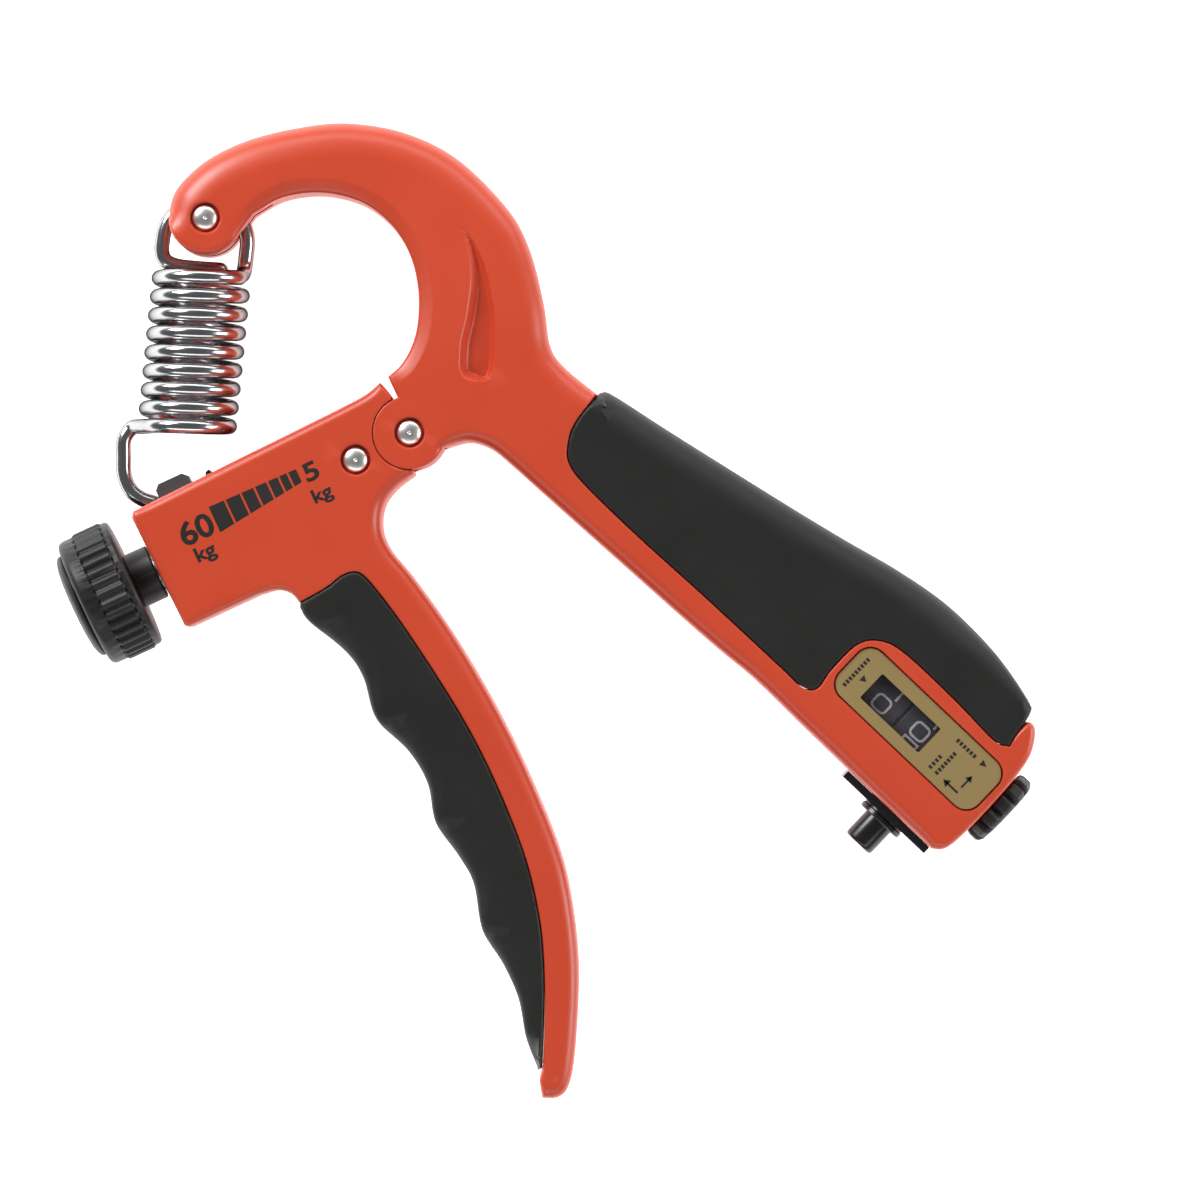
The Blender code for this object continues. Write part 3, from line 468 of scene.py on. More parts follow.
def turned(profile, sides=48, wave=None):
    """A solid of revolution about z from (radius, z) pairs. wave(turn, z, r) gives a changed radius."""
    bm = bmesh.new()
    rings = []
    for r, z in profile:
        if r == 0:
            rings.append([bm.verts.new((0, 0, z))])
            continue
        ring = []
        for i in range(sides):
            at = wave(i / sides, z, r) if wave else r
            ring.append(bm.verts.new((*polar((0, 0), at, tau * (i / sides)), z)))
        rings.append(ring)
    closed = profile[0][0] and profile[-1][0]
    for low, high in list(zip(rings, rings[1:])) + ([(rings[-1], rings[0])] if closed else []):
        for i in range(sides):
            j = (i + 1) % sides
            loop = [low[i % len(low)], low[j % len(low)], high[j % len(high)], high[i % len(high)]]
            bm.faces.new(list(dict.fromkeys(loop)))
    return bm


def along(bm, start, direction):
    """Turns a mesh made about z so that its axis runs along direction from start."""
    turn = Z_AXIS.rotation_difference(Vector(direction)).to_matrix().to_4x4()
    bm.transform(Matrix.Translation(start) @ turn)
    return bm


def cylinder(start, direction, length, radius, sides=40):
    return along(turned([(0, 0), (radius, 0), (radius, length), (0, length)], sides), start, direction)


def wire_rings(path, radius, sides=24):
    """Rings of points round a path, with rounded ends."""
    tangents = [(b - a).normalized() for a, b in zip(path[:1] + path[:-1], path[1:] + path[-1:])]
    caps = [(radius * sin(a), radius * cos(a)) for a in (1.3, 0.9, 0.45)]
    stations = [(path[0] - tangents[0] * out, tangents[0], r) for out, r in caps]
    stations += [(p, t, radius) for p, t in zip(path, tangents)]
    stations += [(path[-1] + tangents[-1] * out, tangents[-1], r) for out, r in caps[::-1]]
    side = tangents[0].orthogonal().normalized()
    rings = []
    for centre, tangent, r in stations:
        side = (side - tangent * side.dot(tangent)).normalized()
        other = tangent.cross(side)
        turns = [tau * i / sides for i in range(sides)]
        rings.append([centre + r * (side * cos(a) + other * sin(a)) for a in turns])
    return rings


def merged(*meshes):
    out = bmesh.new()
    for bm in meshes:
        bmesh.ops.recalc_face_normals(bm, faces=bm.faces)
        mesh = bpy.data.meshes.new("part")
        bm.to_mesh(mesh)
        out.from_mesh(mesh)
        bpy.data.meshes.remove(mesh)
    return out


def mirrored(bm):
    out = bm.copy()
    out.transform(Matrix.Scale(-1, 4, Z_AXIS))
    bmesh.ops.reverse_faces(out, faces=out.faces)
    return out


def to_frame(p):
    """Pivot millimetres to the frame's metres."""
    return PIVOT + Vector(p) * MM


def new_object(name, data):
    obj = bpy.data.objects.new(name, data)
    bpy.context.scene.collection.objects.link(obj)
    return obj


def evaluated_mesh(obj):
    return bpy.data.meshes.new_from_object(obj.evaluated_get(bpy.context.evaluated_depsgraph_get()))


def solid(name, bm):
    """An object in the frame's metres from a mesh in pivot millimetres."""
    bmesh.ops.recalc_face_normals(bm, faces=bm.faces)
    bm.transform(Matrix.Translation(PIVOT) @ Matrix.Scale(MM, 4))
    mesh = bpy.data.meshes.new(name)
    bm.to_mesh(mesh)
    bm.free()
    return new_object(name, mesh)


def boolean(obj, *meshes, operation="DIFFERENCE"):
    """Cuts the meshes out of a piece, or joins them to it."""
    guide = solid("guide", merged(*meshes) if len(meshes) > 1 else meshes[0])
    mod = obj.modifiers.new("boolean", "BOOLEAN")
    mod.operation = operation
    mod.solver = "EXACT"
    mod.object = guide
    done = evaluated_mesh(obj)
    obj.modifiers.clear()
    obj.data = done
    bpy.data.objects.remove(guide)


def place(obj, material, slot, body, *nodes, angle=32):
    """Shades a finished piece, gives it its material and ties it to the frame."""
    obj.data.shade_smooth()
    obj.data.set_sharp_from_angle(angle=radians(angle))
    obj.data.materials.clear()
    obj.data.materials.append(material)
    if isinstance(body, str):
        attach(obj, body)
    else:
        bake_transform(obj)
    if nodes:
        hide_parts(*nodes)


# ---- materials ----
def surface(name, colour, roughness, metallic=0, vary=0.1, grain=(8, 0.15), stretch=(1, 1, 1), edge_wear_and_sheen=0,
            uneven=0.15, **sockets):
    """A material with broad colour and roughness variation, a fine grain and lighter convex edges, which are
    a painted edge highlight as well as rubbed wear.

    Textures are in object millimetres. grain is (scale, bump strength).
    """
    mat = bpy.data.materials.new(name)
    mat.use_nodes = True
    nodes, links = mat.node_tree.nodes, mat.node_tree.links

    def fill(node, values):
        """Sets a node's inputs, or links those that come from another node."""
        for socket, value in values.items():
            entry = node.inputs[socket.replace("_", " ")]
            if isinstance(value, bpy.types.NodeSocket):
                links.new(value, entry)
            else:
                entry.default_value = value

    def add(kind, output, **values):
        node = nodes.new("ShaderNode" + kind)
        if kind == "Mix":
            node.data_type = "RGBA"
        fill(node, values)
        return node.outputs[output]

    def shade(scale, lift=0):
        return *[min(1, c * scale + lift) for c in colour], 1

    scaled = add("Mapping", "Vector", Vector=add("TexCoord", "Object"), Scale=[s / MM for s in stretch])
    broad = add("TexNoise", "Fac", Vector=scaled, Scale=0.11, Detail=3)
    fine = add("TexNoise", "Fac", Vector=scaled, Scale=grain[0], Detail=2)
    base = add("Mix", "Result", Factor=broad, A=shade(1 - vary), B=shade(1 + vary))
    # Convex edges lightened through Pointiness: a painted edge highlight, together with rubbed wear.
    if edge_wear_and_sheen:
        edges = add("NewGeometry", "Pointiness")
        sheen_and_wear_mask = add("MapRange", "Result", Value=edges, From_Min=0.51, From_Max=0.6, To_Max=edge_wear_and_sheen)
        base = add("Mix", "Result", Factor=sheen_and_wear_mask, A=base, B=shade(1.25, 0.06))
    rough = add("MapRange", "Result", Value=broad, To_Min=roughness * (1 - uneven),
                To_Max=min(1, roughness * (1 + uneven)))
    bump = add("Bump", "Normal", Height=fine, Strength=grain[1], Distance=0.02 * MM)
    fill(nodes["Principled BSDF"],
         {"Metallic": metallic, "Base Color": base, "Roughness": rough, "Normal": bump, **sockets})
    return mat


# The lighter-edge amounts below paint an edge highlight along with rubbed wear.
ORANGE = surface("orange_abs", (0.61, 0.063, 0.023), 0.36, vary=0.035, grain=(5, 0.12), edge_wear_and_sheen=0.2,
                 Specular_IOR_Level=0.6)
RUBBER = surface("black_rubber", (0.017, 0.017, 0.016), 0.48, vary=0.12, grain=(7, 0.4), edge_wear_and_sheen=0.4,
                 Specular_IOR_Level=0.3)
KNOB_BLACK = surface("ribbed_black", (0.011, 0.011, 0.011), 0.42, grain=(6, 0.3), edge_wear_and_sheen=0.4,
                     Specular_IOR_Level=0.35)
BLACK = surface("gloss_black", (0.014, 0.014, 0.015), 0.25, grain=(6, 0.1))
CHROME = surface("spring_chrome", (0.54, 0.54, 0.55), 0.2, 1, 0.04, grain=(9, 0.02), uneven=0.1,
                 Specular_Tint=(0.05, 0.05, 0.05, 1))
RIVET = surface("polished_rivet", (0.92, 0.9, 0.86), 0.35, 1, 0.04, grain=(9, 0.03), uneven=0.1)
STEEL = surface("turned_steel", (0.62, 0.62, 0.62), 0.4, 1, 0.08, grain=(3, 0.4), stretch=(6, 0.4, 0.4))
ZINC = surface("zinc_screw", (0.42, 0.42, 0.43), 0.34, 1, grain=(8, 0.4))
NYLON = surface("white_nylon", (0.72, 0.72, 0.69), 0.45, vary=0.04, grain=(4, 0.2))
GOLD = surface("gold_label", (0.5, 0.36, 0.15), 0.36, 0.5, 0.05, grain=(2, 0.3), stretch=(1, 0.05, 1))
PRINT = surface("black_print", (0.016, 0.015, 0.014), 0.5, vary=0.2, grain=(9, 0.2))
DIGIT = surface("pale_digit", (0.82, 0.82, 0.87), 0.5, vary=0.05, grain=(9, 0.2))
WHEEL = surface("dark_wheel", (0.058, 0.054, 0.066), 0.5, grain=(9, 0.3))
FLOOR_WHITE = surface("white_floor", (1, 1, 1), 0.9, vary=0.005, grain=(0.5, 0.02),
                      Emission_Color=(1, 1, 1, 1), Emission_Strength=0.9)
LENS = surface("clear_lens", (0.1, 0.1, 0.12), 0.06, grain=(1, 0.02), Alpha=0.14)


# ---- casings ----
def side_prism(outline, sign, low, high):
    """A prism on the front (sign 1) or back (sign -1) side."""
    return prism(outline, *sorted((sign * low, sign * high)))


def rivet_hole(at, half, sign):
    return cylinder((*at, -sign), (0, 0, sign), half + 3, RIVET_HOLE_R)


def rivet_well(at, half, sign):
    return cylinder((*at, sign * (half - WELL_DEPTH)), (0, 0, sign), 4, WELL_R, 48)


def screw_hole(at, half, sign):
    """The blind hole in a front shell, or the through hole in a back shell."""
    low, length = (-1, 7.6) if sign > 0 else (-half - 1, half + 2)
    return cylinder((*at, low), Z_AXIS, length, SCREW_HOLE_R, 20)


def screw_seat(at, half):
    return cylinder((*at, -half - 2), Z_AXIS, 4.6, SCREW_SEAT_R, 32)


def hook_half(y):
    """Half thickness of the palm lever, thinner towards the end of the hook."""
    return HALF + (HOOK_HALF - HALF) * ease(ramp(y, TAPER_FROM, TAPER_TO))


def finger_casing():
    rim = Rim([(FINGER_LEFT, 1, 1, 0), (FINGER_TOP, 1.5, 1.5, 0), (FINGER_STOP, 0.5, 0.4, 0),
               (arc((0, 0), HUB_SEAT_R, 95, 250), 0.25, 0.15, 0), (FINGER_INNER, 2.2, 2, 0),
               (straight([(-26.2, -107.3), (-25.4, -104.5), (-24.1, -103)]), 1.2, 1, 0),
               (FINGER_SEAM, 0.35, 0.3, 0), (FINGER_UNDER, 1.2, 1.2, 0)])
    front = moulded(rim, lambda y: HALF, [Dimple(HOUSING_RIVET)])
    tongue = arc((0, 0), BOSS_R, 90, -90) + [(-9, -6), (-9, 6)]
    housing, slot = box(-44.6, -14.9, -7.3, 5.6), box(-43.5, SLOT_END, SLOT_FLOOR, 12)
    slot_mouth = box(-49, -40, 5, 12)
    screws = CASING_SCREWS["finger"]
    for sign, name, bm in ((1, "finger_front", front), (-1, "finger_back", mirrored(front))):
        shell = solid(name + "_casing", bm)
        boolean(shell, side_prism(FINGER_CORE, sign, SEAM, CORE_HALF),
                side_prism(tongue, sign, SEAM, TONGUE_HALF), operation="UNION")
        boolean(shell, side_prism(housing, sign, -1, HOUSING_DEPTH), cylinder((0, 0, -8), Z_AXIS, 16, 3.3),
                *[side_prism(hollow, sign, -1, HANDLE_HOLLOW) for hollow in FINGER_HOLLOWS],
                rivet_hole(HOUSING_RIVET, HALF, sign), *[screw_hole(at, HALF, sign) for at in screws])
        boolean(shell, side_prism(slot, sign, -1, SLOT_HALF), cylinder((-15.2, SCREW_Y, 0), X_AXIS, 2.6, 3.5),
                cylinder((-48, SCREW_Y, 0), X_AXIS, 4.2, 5.3), rivet_well(HOUSING_RIVET, HALF, sign),
                *[screw_seat(at, HALF) for at in screws if sign < 0])
        boolean(shell, side_prism(slot_mouth, sign, -1, SLOT_HALF))
        place(shell, ORANGE, "orange_shell", "finger_lever", name + "_shell")


def hook_edge_width(y):
    """The rounded back of the hook is widest over its bend."""
    return 4.2 + 1.6 * ramp(y, 12, 52)


def palm_casing():
    rim = Rim([(SHOULDER, 0.5, 0.4, 0), (HOOK_INNER[::-1], 2.2, 1.1, 0.8),
               (arc(HOOK_RIVET, BOSS_R, -50, -200), 1.1, 0.9, 0),
               (HOOK_OUTER, hook_edge_width, lambda y: 0.72 * hook_edge_width(y), 0),
               (PALM_SEAM + PALM_END[:6], 0.35, 0.3, 0),
               (PALM_END[6:], 1.2, 1.2, 0), (PALM_INNER, 2.2, 2, 0),
               (arc((0, 0), BOSS_R, -49.5, -262), 0.35, 0.3, 0)])
    hook_at = hook_half(HOOK_RIVET[1])
    front = moulded(rim, hook_half, [Recess([(TEARDROP_RIGHT, 0.6), (TEARDROP_LEFT, 1.4)]),
                                      Dimple((0, 0)), Dimple(HOOK_RIVET)])
    fork = arc((0, 0), SOCKET_R, 86, -60) + [(-1, -8), (-8, -8), (-8, 8), (0.4, 8)]
    works = on_plate(box(-9.6, 13.6, -6.2, 6.2))
    label_seat = on_plate(rounded_box(-12, 19.6, -5, 5.3, 3))
    window = on_plate(box(-7.4, 7.3, -3.4, 3.4))
    screws = [(at, hook_half(at[1])) for at in CASING_SCREWS["palm"]]
    for sign, name, bm in ((1, "palm_front", front), (-1, "palm_back", mirrored(front))):
        shell = solid(name + "_casing", bm)
        boolean(shell, side_prism(PALM_CORE, sign, SEAM, CORE_HALF), operation="UNION")
        boolean(shell, prism(fork, -FORK_HALF, FORK_HALF), side_prism(works, sign, -1, WORKS_DEPTH[sign < 0]),
                side_prism(HOOK_HOLLOW, sign, -1, 5.5), side_prism(PALM_HOLLOW, sign, -1, HANDLE_HOLLOW))
        boolean(shell, rivet_hole((0, 0), HALF, sign), rivet_hole(HOOK_RIVET, hook_at, sign),
                cylinder(at_plate(PLUNGER_T, -16, 0), PLATE_ACROSS, 11, GUIDE_R),
                *[screw_hole(at, half, sign) for at, half in screws])
        face_cuts = [screw_seat(at, half) for at, half in screws] if sign < 0 else [
            prism(label_seat, HALF - 1.3, HALF + 2), cylinder(at_plate(13, 0, WHEEL_Z), PLATE_WAY, 12, 1.9)]
        boolean(shell, cylinder((*HOOK_RIVET, -1.9), Z_AXIS, 3.8, 11, 64),
                rivet_well((0, 0), HALF, sign), rivet_well(HOOK_RIVET, hook_at, sign), *face_cuts)
        if sign > 0:
            boolean(shell, prism(window, 8, HALF + 1))
        place(shell, ORANGE, "orange_shell", "palm_lever", name + "_shell")


# ---- rubber grips ----
def groove_width(y):
    """The finger grip's scooped edge is widest just below each ridge and narrows down to the next one."""
    below = (RIDGE_FROM - y) % RIDGE_PITCH
    return 1.6 + 6.2 * max(0, 1 - below / (0.8 * RIDGE_PITCH))


def palm_edge_width(y):
    """The palm grip's rounded back gets narrower towards the counter's end."""
    return 5.5 - 4.2 * ramp(y, -66, -83)


def rubber_grips():
    finger = Rim([(FINGER_WAVE, groove_width, lambda y: 0.7 + 0.42 * groove_width(y), 0),
                  (FINGER_SEAM, 0.5, 0.4, 0)], 2, True, 0.13)
    palm = Rim([(PALM_GRIP[:-9], palm_edge_width, lambda y: 0.82 * palm_edge_width(y), 0),
                (PALM_GRIP[-9:] + PALM_SEAM[::-1], 0.5, 0.4, 0)], 6, True, 0.13)
    for name, body, rim, core in (("finger_grip", "finger_lever", finger, FINGER_CORE),
                                  ("palm_grip", "palm_lever", palm, PALM_CORE)):
        grip = solid(name + "_rubber", moulded(rim, lambda y: HALF, both_sides=True))
        boolean(grip, prism(grow(core, 0.25), -CORE_HALF - 0.25, CORE_HALF + 0.25))
        place(grip, RUBBER, "rubber_grip", body, name)


# ---- fasteners ----
def rivets():
    """Pins with a domed head and a small centre dimple at each end."""
    for name, body, at in (("pivot_rivet", "palm_lever", (0, 0)),
                           ("housing_rivet", "finger_lever", HOUSING_RIVET),
                           ("hook_rivet", "palm_lever", HOOK_RIVET)):
        half = hook_half(at[1])
        floor = half - WELL_DEPTH + 0.3
        angles = [radians(8 * i) for i in range(11, 1, -1)]
        dome = [(2.05 * sin(a), half - 0.85 * (1 - cos(a))) for a in angles]
        head = [(1.55, floor), (1.95, floor), (2.05, floor + 0.1), *dome, (0.42, half - 0.02),
                (0.32, half - 0.03), (0.22, half - 0.12), (0, half - 0.16)]
        pin = turned([(r, -z) for r, z in head[::-1]] + head, 48)
        place(solid(name + "_domed", along(pin, (*at, 0), Z_AXIS)), RIVET, "chrome_rivet", body, name)


def casing_screws():
    for side, body in (("finger", "finger_lever"), ("palm", "palm_lever")):
        for i, at in enumerate(CASING_SCREWS[side], 1):
            half = hook_half(at[1]) if side == "palm" else HALF
            top = 0.4 - half
            head = [(0, top), (1.2, top + 0.02), (1.6, top + 0.12), (1.88, top + 0.34), (2, top + 0.7),
                    (2, top + 1.9), (1.1, top + 1.9), (1.1, 5.4), (0, 6)]
            screw = solid(f"{side}_screw_{i}", along(turned(head, 36), (*at, 0), Z_AXIS))
            cross = [(at[0] + x * c - y * s, at[1] + x * s + y * c)
                     for c, s in ((1, 0), (0, 1), (-1, 0), (0, -1)) for x, y in CROSS_CORNER]
            boolean(screw, prism(cross, top - 1, top + 0.7))
            place(screw, ZINC, "casing_screw", body, f"{side}_casing_screw_{i}")


# ---- load adjuster ----
def knob():
    """The ribbed knob with its smooth shoulder, rim and hub, and the cap pressed into its end."""
    end = (KNOB_END_X, SCREW_Y, 0)
    ribs_from, ribs_to = 4.7, 9.7

    def ribbed(turn, z, r):
        if not ribs_from < z < ribs_to:
            return r
        phase = (turn * KNOB_RIBS) % 1
        return r - 0.45 * max(0, sin(pi * phase)) ** 3

    profile = [
        (0, 4.2), (8.6, 4.2), (8.6, 2.1), (8.8, 1.9), (10, 1.9), (10.4, 2.05), (10.75, 2.4), (10.9, 2.9),
        (10.9, 4.6), (11, 4.75), (11.2, 5), (11.2, 6.5), (11.2, 8), (11.2, 9.4), (11, 9.65),
        (10.9, 9.8), (10.9, 10.5), (10.6, 10.9), (10.1, 11), (5, 11), (4.7, 11.1), (4.6, 11.4),
        (4.6, 14.8), (4.4, 15), (3.1, 15), (3.1, 6), (0, 6)]
    body = solid("knob_ribbed", along(turned(profile, KNOB_RIBS * 10, ribbed), end, X_AXIS))
    place(body, KNOB_BLACK, "black_knob", "load_knob", "adjuster_knob")

    domed = [
        (0, 0), (3, 0.04), (5.4, 0.16), (7.2, 0.38), (8.2, 0.7), (8.7, 1), (8.9, 1.35), (8.85, 1.6),
        (8.2, 1.6), (8.2, 3.6), (0, 3.6)]
    cap = solid("knob_end_cap", along(turned(domed, 96), end, X_AXIS))
    slot = [(z, y) for y, z in rounded_box(-3.2, 3.2, -0.6, 0.6, 0.55)]
    boolean(cap, along(prism(slot, 0, 2), (KNOB_END_X + 0.8, SCREW_Y, 0), -X_AXIS))
    place(cap, KNOB_BLACK, "black_knob", "load_knob", "knob_cap")


def lead_screw():
    """A rod, plain inside the knob, then threaded, with a journal at its far end."""
    start, end = KNOB_END_X + 6.3, -13.2
    pitch, per_turn = 2, 8

    def thread(turn, z, r):
        if not 12 < z < end - start - 2.2 or r < 2.5:
            return r
        phase = (z / pitch - turn) % 1
        return r - 0.5 * (0.5 + 0.5 * cos(tau * phase))

    length = end - start
    count = round((length - 2) / pitch * per_turn)
    profile = [(0, 0)] + [(2.8, (length - 2) * i / count) for i in range(count + 1)]
    profile += [(1.6, length - 2), (1.6, length - 0.2), (1.4, length), (0, length)]
    rod = solid("threaded_rod", along(turned(profile, 24, thread), (start, SCREW_Y, 0), X_AXIS))
    place(rod, STEEL, "steel_parts", "load_knob", "lead_screw", angle=60)


def nut():
    """The milled nut with its two upright cheeks, and the slider shoe with its rear tab."""
    left, right = -41.7, -35.9
    block = solid("milled_nut", bevelled(prism(box(-41.5, -37.1, -6.9, 1), -4.6, 4.6), 0.3))
    cheek = [(left, 0.4), (right - 0.7, 0.4), (right - 0.7, 3.4), (right, 3.4), (right, 9.1),
             (right - 0.8, 9.9), (left + 0.8, 9.9), (left, 9.1)]
    boolean(block, *[bevelled(prism(cheek, z0, z0 + 1.55), 0.45) for z0 in (1.75, -3.3)], operation="UNION")
    boolean(block, cylinder((-44, SCREW_Y, 0), X_AXIS, 10, 3.1),
            cylinder((*SPRING_PIN, -9), Z_AXIS, 18, PIN_HOLE_R))
    place(block, CHROME, "steel_parts", "load_nut", "load_nut")

    shoe = solid("slider_shoe", bevelled(prism(box(left, -31.7, 3, 7), -4.9, 4.9), 0.3))
    tab = [(-34, 6.5), (-31.9, 6.5), (-31.9, 7.6), (-32.4, 8.6), (-33, 8.4)]
    boolean(shoe, bevelled(prism(tab, -4, 4), 0.15), operation="UNION")
    boolean(shoe, prism(box(-43, -34.6, 2, 8), -3.6, 3.6))
    boolean(shoe, cylinder((*SPRING_PIN, -9), Z_AXIS, 18, PIN_HOLE_R))
    place(shoe, BLACK, "black_plastic", "load_nut", "nut_slider")


# ---- springs ----
def wire_length(rings, first, last, lap=False):
    """The wire from one ring to another.

    With lap it runs on by one thinner ring at both ends, inside its neighbours, so that they meet smoothly.
    """
    part = rings[first:last + 1]
    if lap:
        part = [thinner(rings[first - 1]), *part, thinner(rings[last + 1])]
    return loft(bmesh.new(), part)


def middle_of(ring):
    return sum(ring, Vector()) / len(ring)


def thinner(ring):
    centre = middle_of(ring)
    return [centre.lerp(p, 0.99) for p in ring]


def blend_place(share):
    """How far between its ends a blend reaches this share of the movement."""
    return 0.5 - sin(asin(1 - 2 * share) / 3)


def spring():
    """One bright wire in short lengths, which meet without a step.

    The ends of a blend round the coil, not along it, are worked out for each coil length and passed to
    place(), which does not use them.
    """
    start = Vector((*HOOK_RIVET, 0))
    way = (Vector((*SPRING_PIN, 0)) - start).normalized()
    side = Vector((-way.y, way.x, 0))

    def at(down, across, up):
        return start + way * down + side * across + Z_AXIS * up

    pitch = (COIL_TO - COIL_FROM) / COIL_TURNS
    turns = [radians(a) for a in range(25, round(360 * COIL_TURNS) - 25, 8)]
    coil = [at(COIL_FROM + pitch * a / tau, COIL_R * cos(a), COIL_R * sin(a)) for a in turns]
    swing = [radians(a) for a in range(-90, 96, 6)]
    free_end = smooth([at(8, 3, 0), at(8.1, -1, 0), at(8, -4.4, 0), at(7.2, -6.3, 0), at(5.6, -6.95, 0),
                       at(LOOP_CENTRE, -COIL_R, 0)], 0.6)[:-1]
    loop = [*map(Vector, free_end)]
    loop += [at(LOOP_CENTRE - COIL_R * cos(a), COIL_R * sin(a), 0) for a in swing]
    lead_in = smooth([loop[-1], at(6.6, 6.9, 0.1), at(8.2, 6.8, 1), coil[0]], 0.6)[1:-1]
    leg = [Vector((x, y, 0)) for x, y in ((-43, 19), (-44.3, 16.4), (-45.4, 13.8), (-45.5, 11),
                                          (-44.4, 8.9), (-42.9, 7.5))]
    ring = [Vector((*p, 0)) for p in arc(SPRING_PIN, PIN_LOOP_R, 160, 395, 0.5)]
    lead_out = smooth([coil[-1], at(34.9, -7.9, 1), at(35.2, -9, 0), *leg, ring[0]], 0.6)[1:-1]
    path = [*loop, *map(Vector, lead_in), *coil, *map(Vector, lead_out), *ring]
    rings = wire_rings(path, WIRE_R)
    first, last = len(loop) + len(lead_in) + 2, len(loop) + len(lead_in) + len(coil) + 2

    place(solid("upper_loop_wire", wire_length(rings, 0, first)), CHROME, "spring_wire",
          ("spring_hanger", "spring_upper", to_frame(at(-4, 0, 0)), to_frame(at(0, 0, 0))),
          "spring_upper_loop")
    cuts = [round(first + (last - first) * i / COIL_PIECES) for i in range(COIL_PIECES + 1)]
    for i, (low, high) in enumerate(zip(cuts, cuts[1:]), 1):
        begin, chord = middle_of(rings[low]), middle_of(rings[high]) - middle_of(rings[low])
        chord -= way * chord.dot(way)
        t0, t1 = (blend_place((cut - first) / (last - first)) for cut in (low, high))
        begin -= chord * (t0 / (t1 - t0))
        end = begin + chord / (t1 - t0)
        node = "spring_coil_upper" if i <= COIL_PIECES / 2 else "spring_coil_lower"
        place(solid(f"coil_wire_{i:02d}", wire_length(rings, low, high, True)), CHROME, "spring_wire",
              ("spring_upper", "spring_lower", to_frame(begin), to_frame(end)), node)
    place(solid("lower_hook_wire", wire_length(rings, last, len(rings) - 1)), CHROME, "spring_wire",
          ("spring_lower", "spring_end", to_frame((-42.5, 19.3, 0)), to_frame((-45.3, 11, 0))),
          "spring_lower_hook")


def return_spring():
    """The light coil round the plunger's stem."""
    turns, top, bottom = 3, -7.9, -12.1
    path = []
    for i in range(turns * 16 + 1):
        a = tau * i / 16
        across = top + (bottom - top) * i / (turns * 16)
        path.append(Vector(at_plate(PLUNGER_T + 2.2 * cos(a), across, 2.2 * sin(a))))
    rings = wire_rings(path, 0.2, 10)
    place(solid("return_spring_wire", wire_length(rings, 0, len(rings) - 1)), CHROME, "steel_parts",
          ("palm_lever", "count_plunger", to_frame(path[0]), to_frame(path[-1])), "plunger_spring")


# ---- scale on the housing ----
def lettering(text, x0, x1, y0, y1, z):
    """Ink in the built-in font, fitted into a box and centred on height z."""
    data = bpy.data.curves.new("lettering", "FONT")
    data.body = text
    data.extrude = 0.01
    data.offset = 0.025
    obj = new_object("lettering", data)
    bpy.context.view_layer.update()
    mesh = evaluated_mesh(obj)
    bpy.data.objects.remove(obj)
    bm = bmesh.new()
    bm.from_mesh(mesh)
    bmesh.ops.remove_doubles(bm, verts=bm.verts, dist=1e-5)
    xs, ys = [v.co.x for v in bm.verts], [v.co.y for v in bm.verts]
    for v in bm.verts:
        v.co = (x0 + (x1 - x0) * (v.co.x - min(xs)) / (max(xs) - min(xs)),
                y0 + (y1 - y0) * (v.co.y - min(ys)) / (max(ys) - min(ys)),
                z + INK * (1 if v.co.z > 0 else -1))
    return bm


def scale_print():
    """Numbers and units at both ends, and seven bars between them, each smaller than the last."""
    marks = [lettering("60", -40.9, -35.2, -1.6, 2.4, HALF), lettering("5", -18.4, -16, -0.5, 2.6, HALF),
             lettering("kg", -40, -36.6, -5.5, -2.3, HALF), lettering("kg", -18.7, -15.4, -4.8, -1.8, HALF)]
    left, right = -34.7, -19.3
    edges = [left, -31.7, -28.9, -26.5, -24.2, -22.2, -20.6, -18.9]
    for x0, x1 in zip(edges, edges[1:]):
        x1 -= 0.35
        top, low = ([a + (b - a) * (x - left) / (right - left) for x in (x0, x1)]
                    for a, b in ((2.8, 2.4), (-1.7, 0.1)))
        marks.append(prism([(x0, low[0]), (x1, low[1]), (x1, top[1]), (x0, top[0])], HALF - INK, HALF + INK))
    place(solid("load_scale_print", merged(*marks)), PRINT, "black_plastic", "finger_lever")


# ---- counter ----
def counter_label():
    """The gold plate with rows of plain bars in place of words, and the window's pane."""
    low, high = HALF - 1, HALF - 0.3
    outline = on_plate(rounded_box(-11.7, 19.3, -4.7, 5, 2.7))
    label = solid("label_plate", bevelled(prism(outline, low, high), 0.12, 2, 60))
    boolean(label, prism(on_plate(rounded_box(-6.6, 6.5, -2.7, 2.65, 0.3)), 8, 13))
    place(label, GOLD, "gold_label", "palm_lever", "counter_label")

    rows = ((-9.85, -3.1, 3.1, True), (9.5, -3.2, -0.2, True), (10.9, -3.2, 1.7, True),
            (3.2, 9.6, 14, False))
    marks = []
    for level, start, end, across in rows:
        count = round((end - start) / 0.68)
        for i in range(count):
            place_in_row = start + (end - start) * i / count
            tall, wide = (level - 0.33, level + 0.33), (place_in_row, place_in_row + 0.45)
            marks.append(box(*tall, *wide) if across else box(*wide, *tall))
    marks += [box(12.9, 15.6, -3.2, -2.85), box(15.3, 15.6, -2, 0.3),
              [(-8.6, -0.75), (-8.6, 0.45), (-7.6, -0.15)], [(15, 2.7), (15, 3.8), (16.1, 3.25)],
              [(13.5, -3.75), (13.5, -2.3), (12.4, -3.02)], [(14.8, -0.4), (16.1, -0.4), (15.45, 0.6)]]
    marks = [prism(on_plate(outline), high - INK, high + INK) for outline in marks]
    place(solid("label_print", merged(*marks)), PRINT, "gold_label", "palm_lever")

    pane = on_plate(box(-7.1, 7, -3.1, 3.1))
    lens = solid("lens_pane", bevelled(prism(pane, 9.25, HALF - 1.3), 0.1, 2, 60))
    place(lens, LENS, "window", "palm_lever", "counter_window")


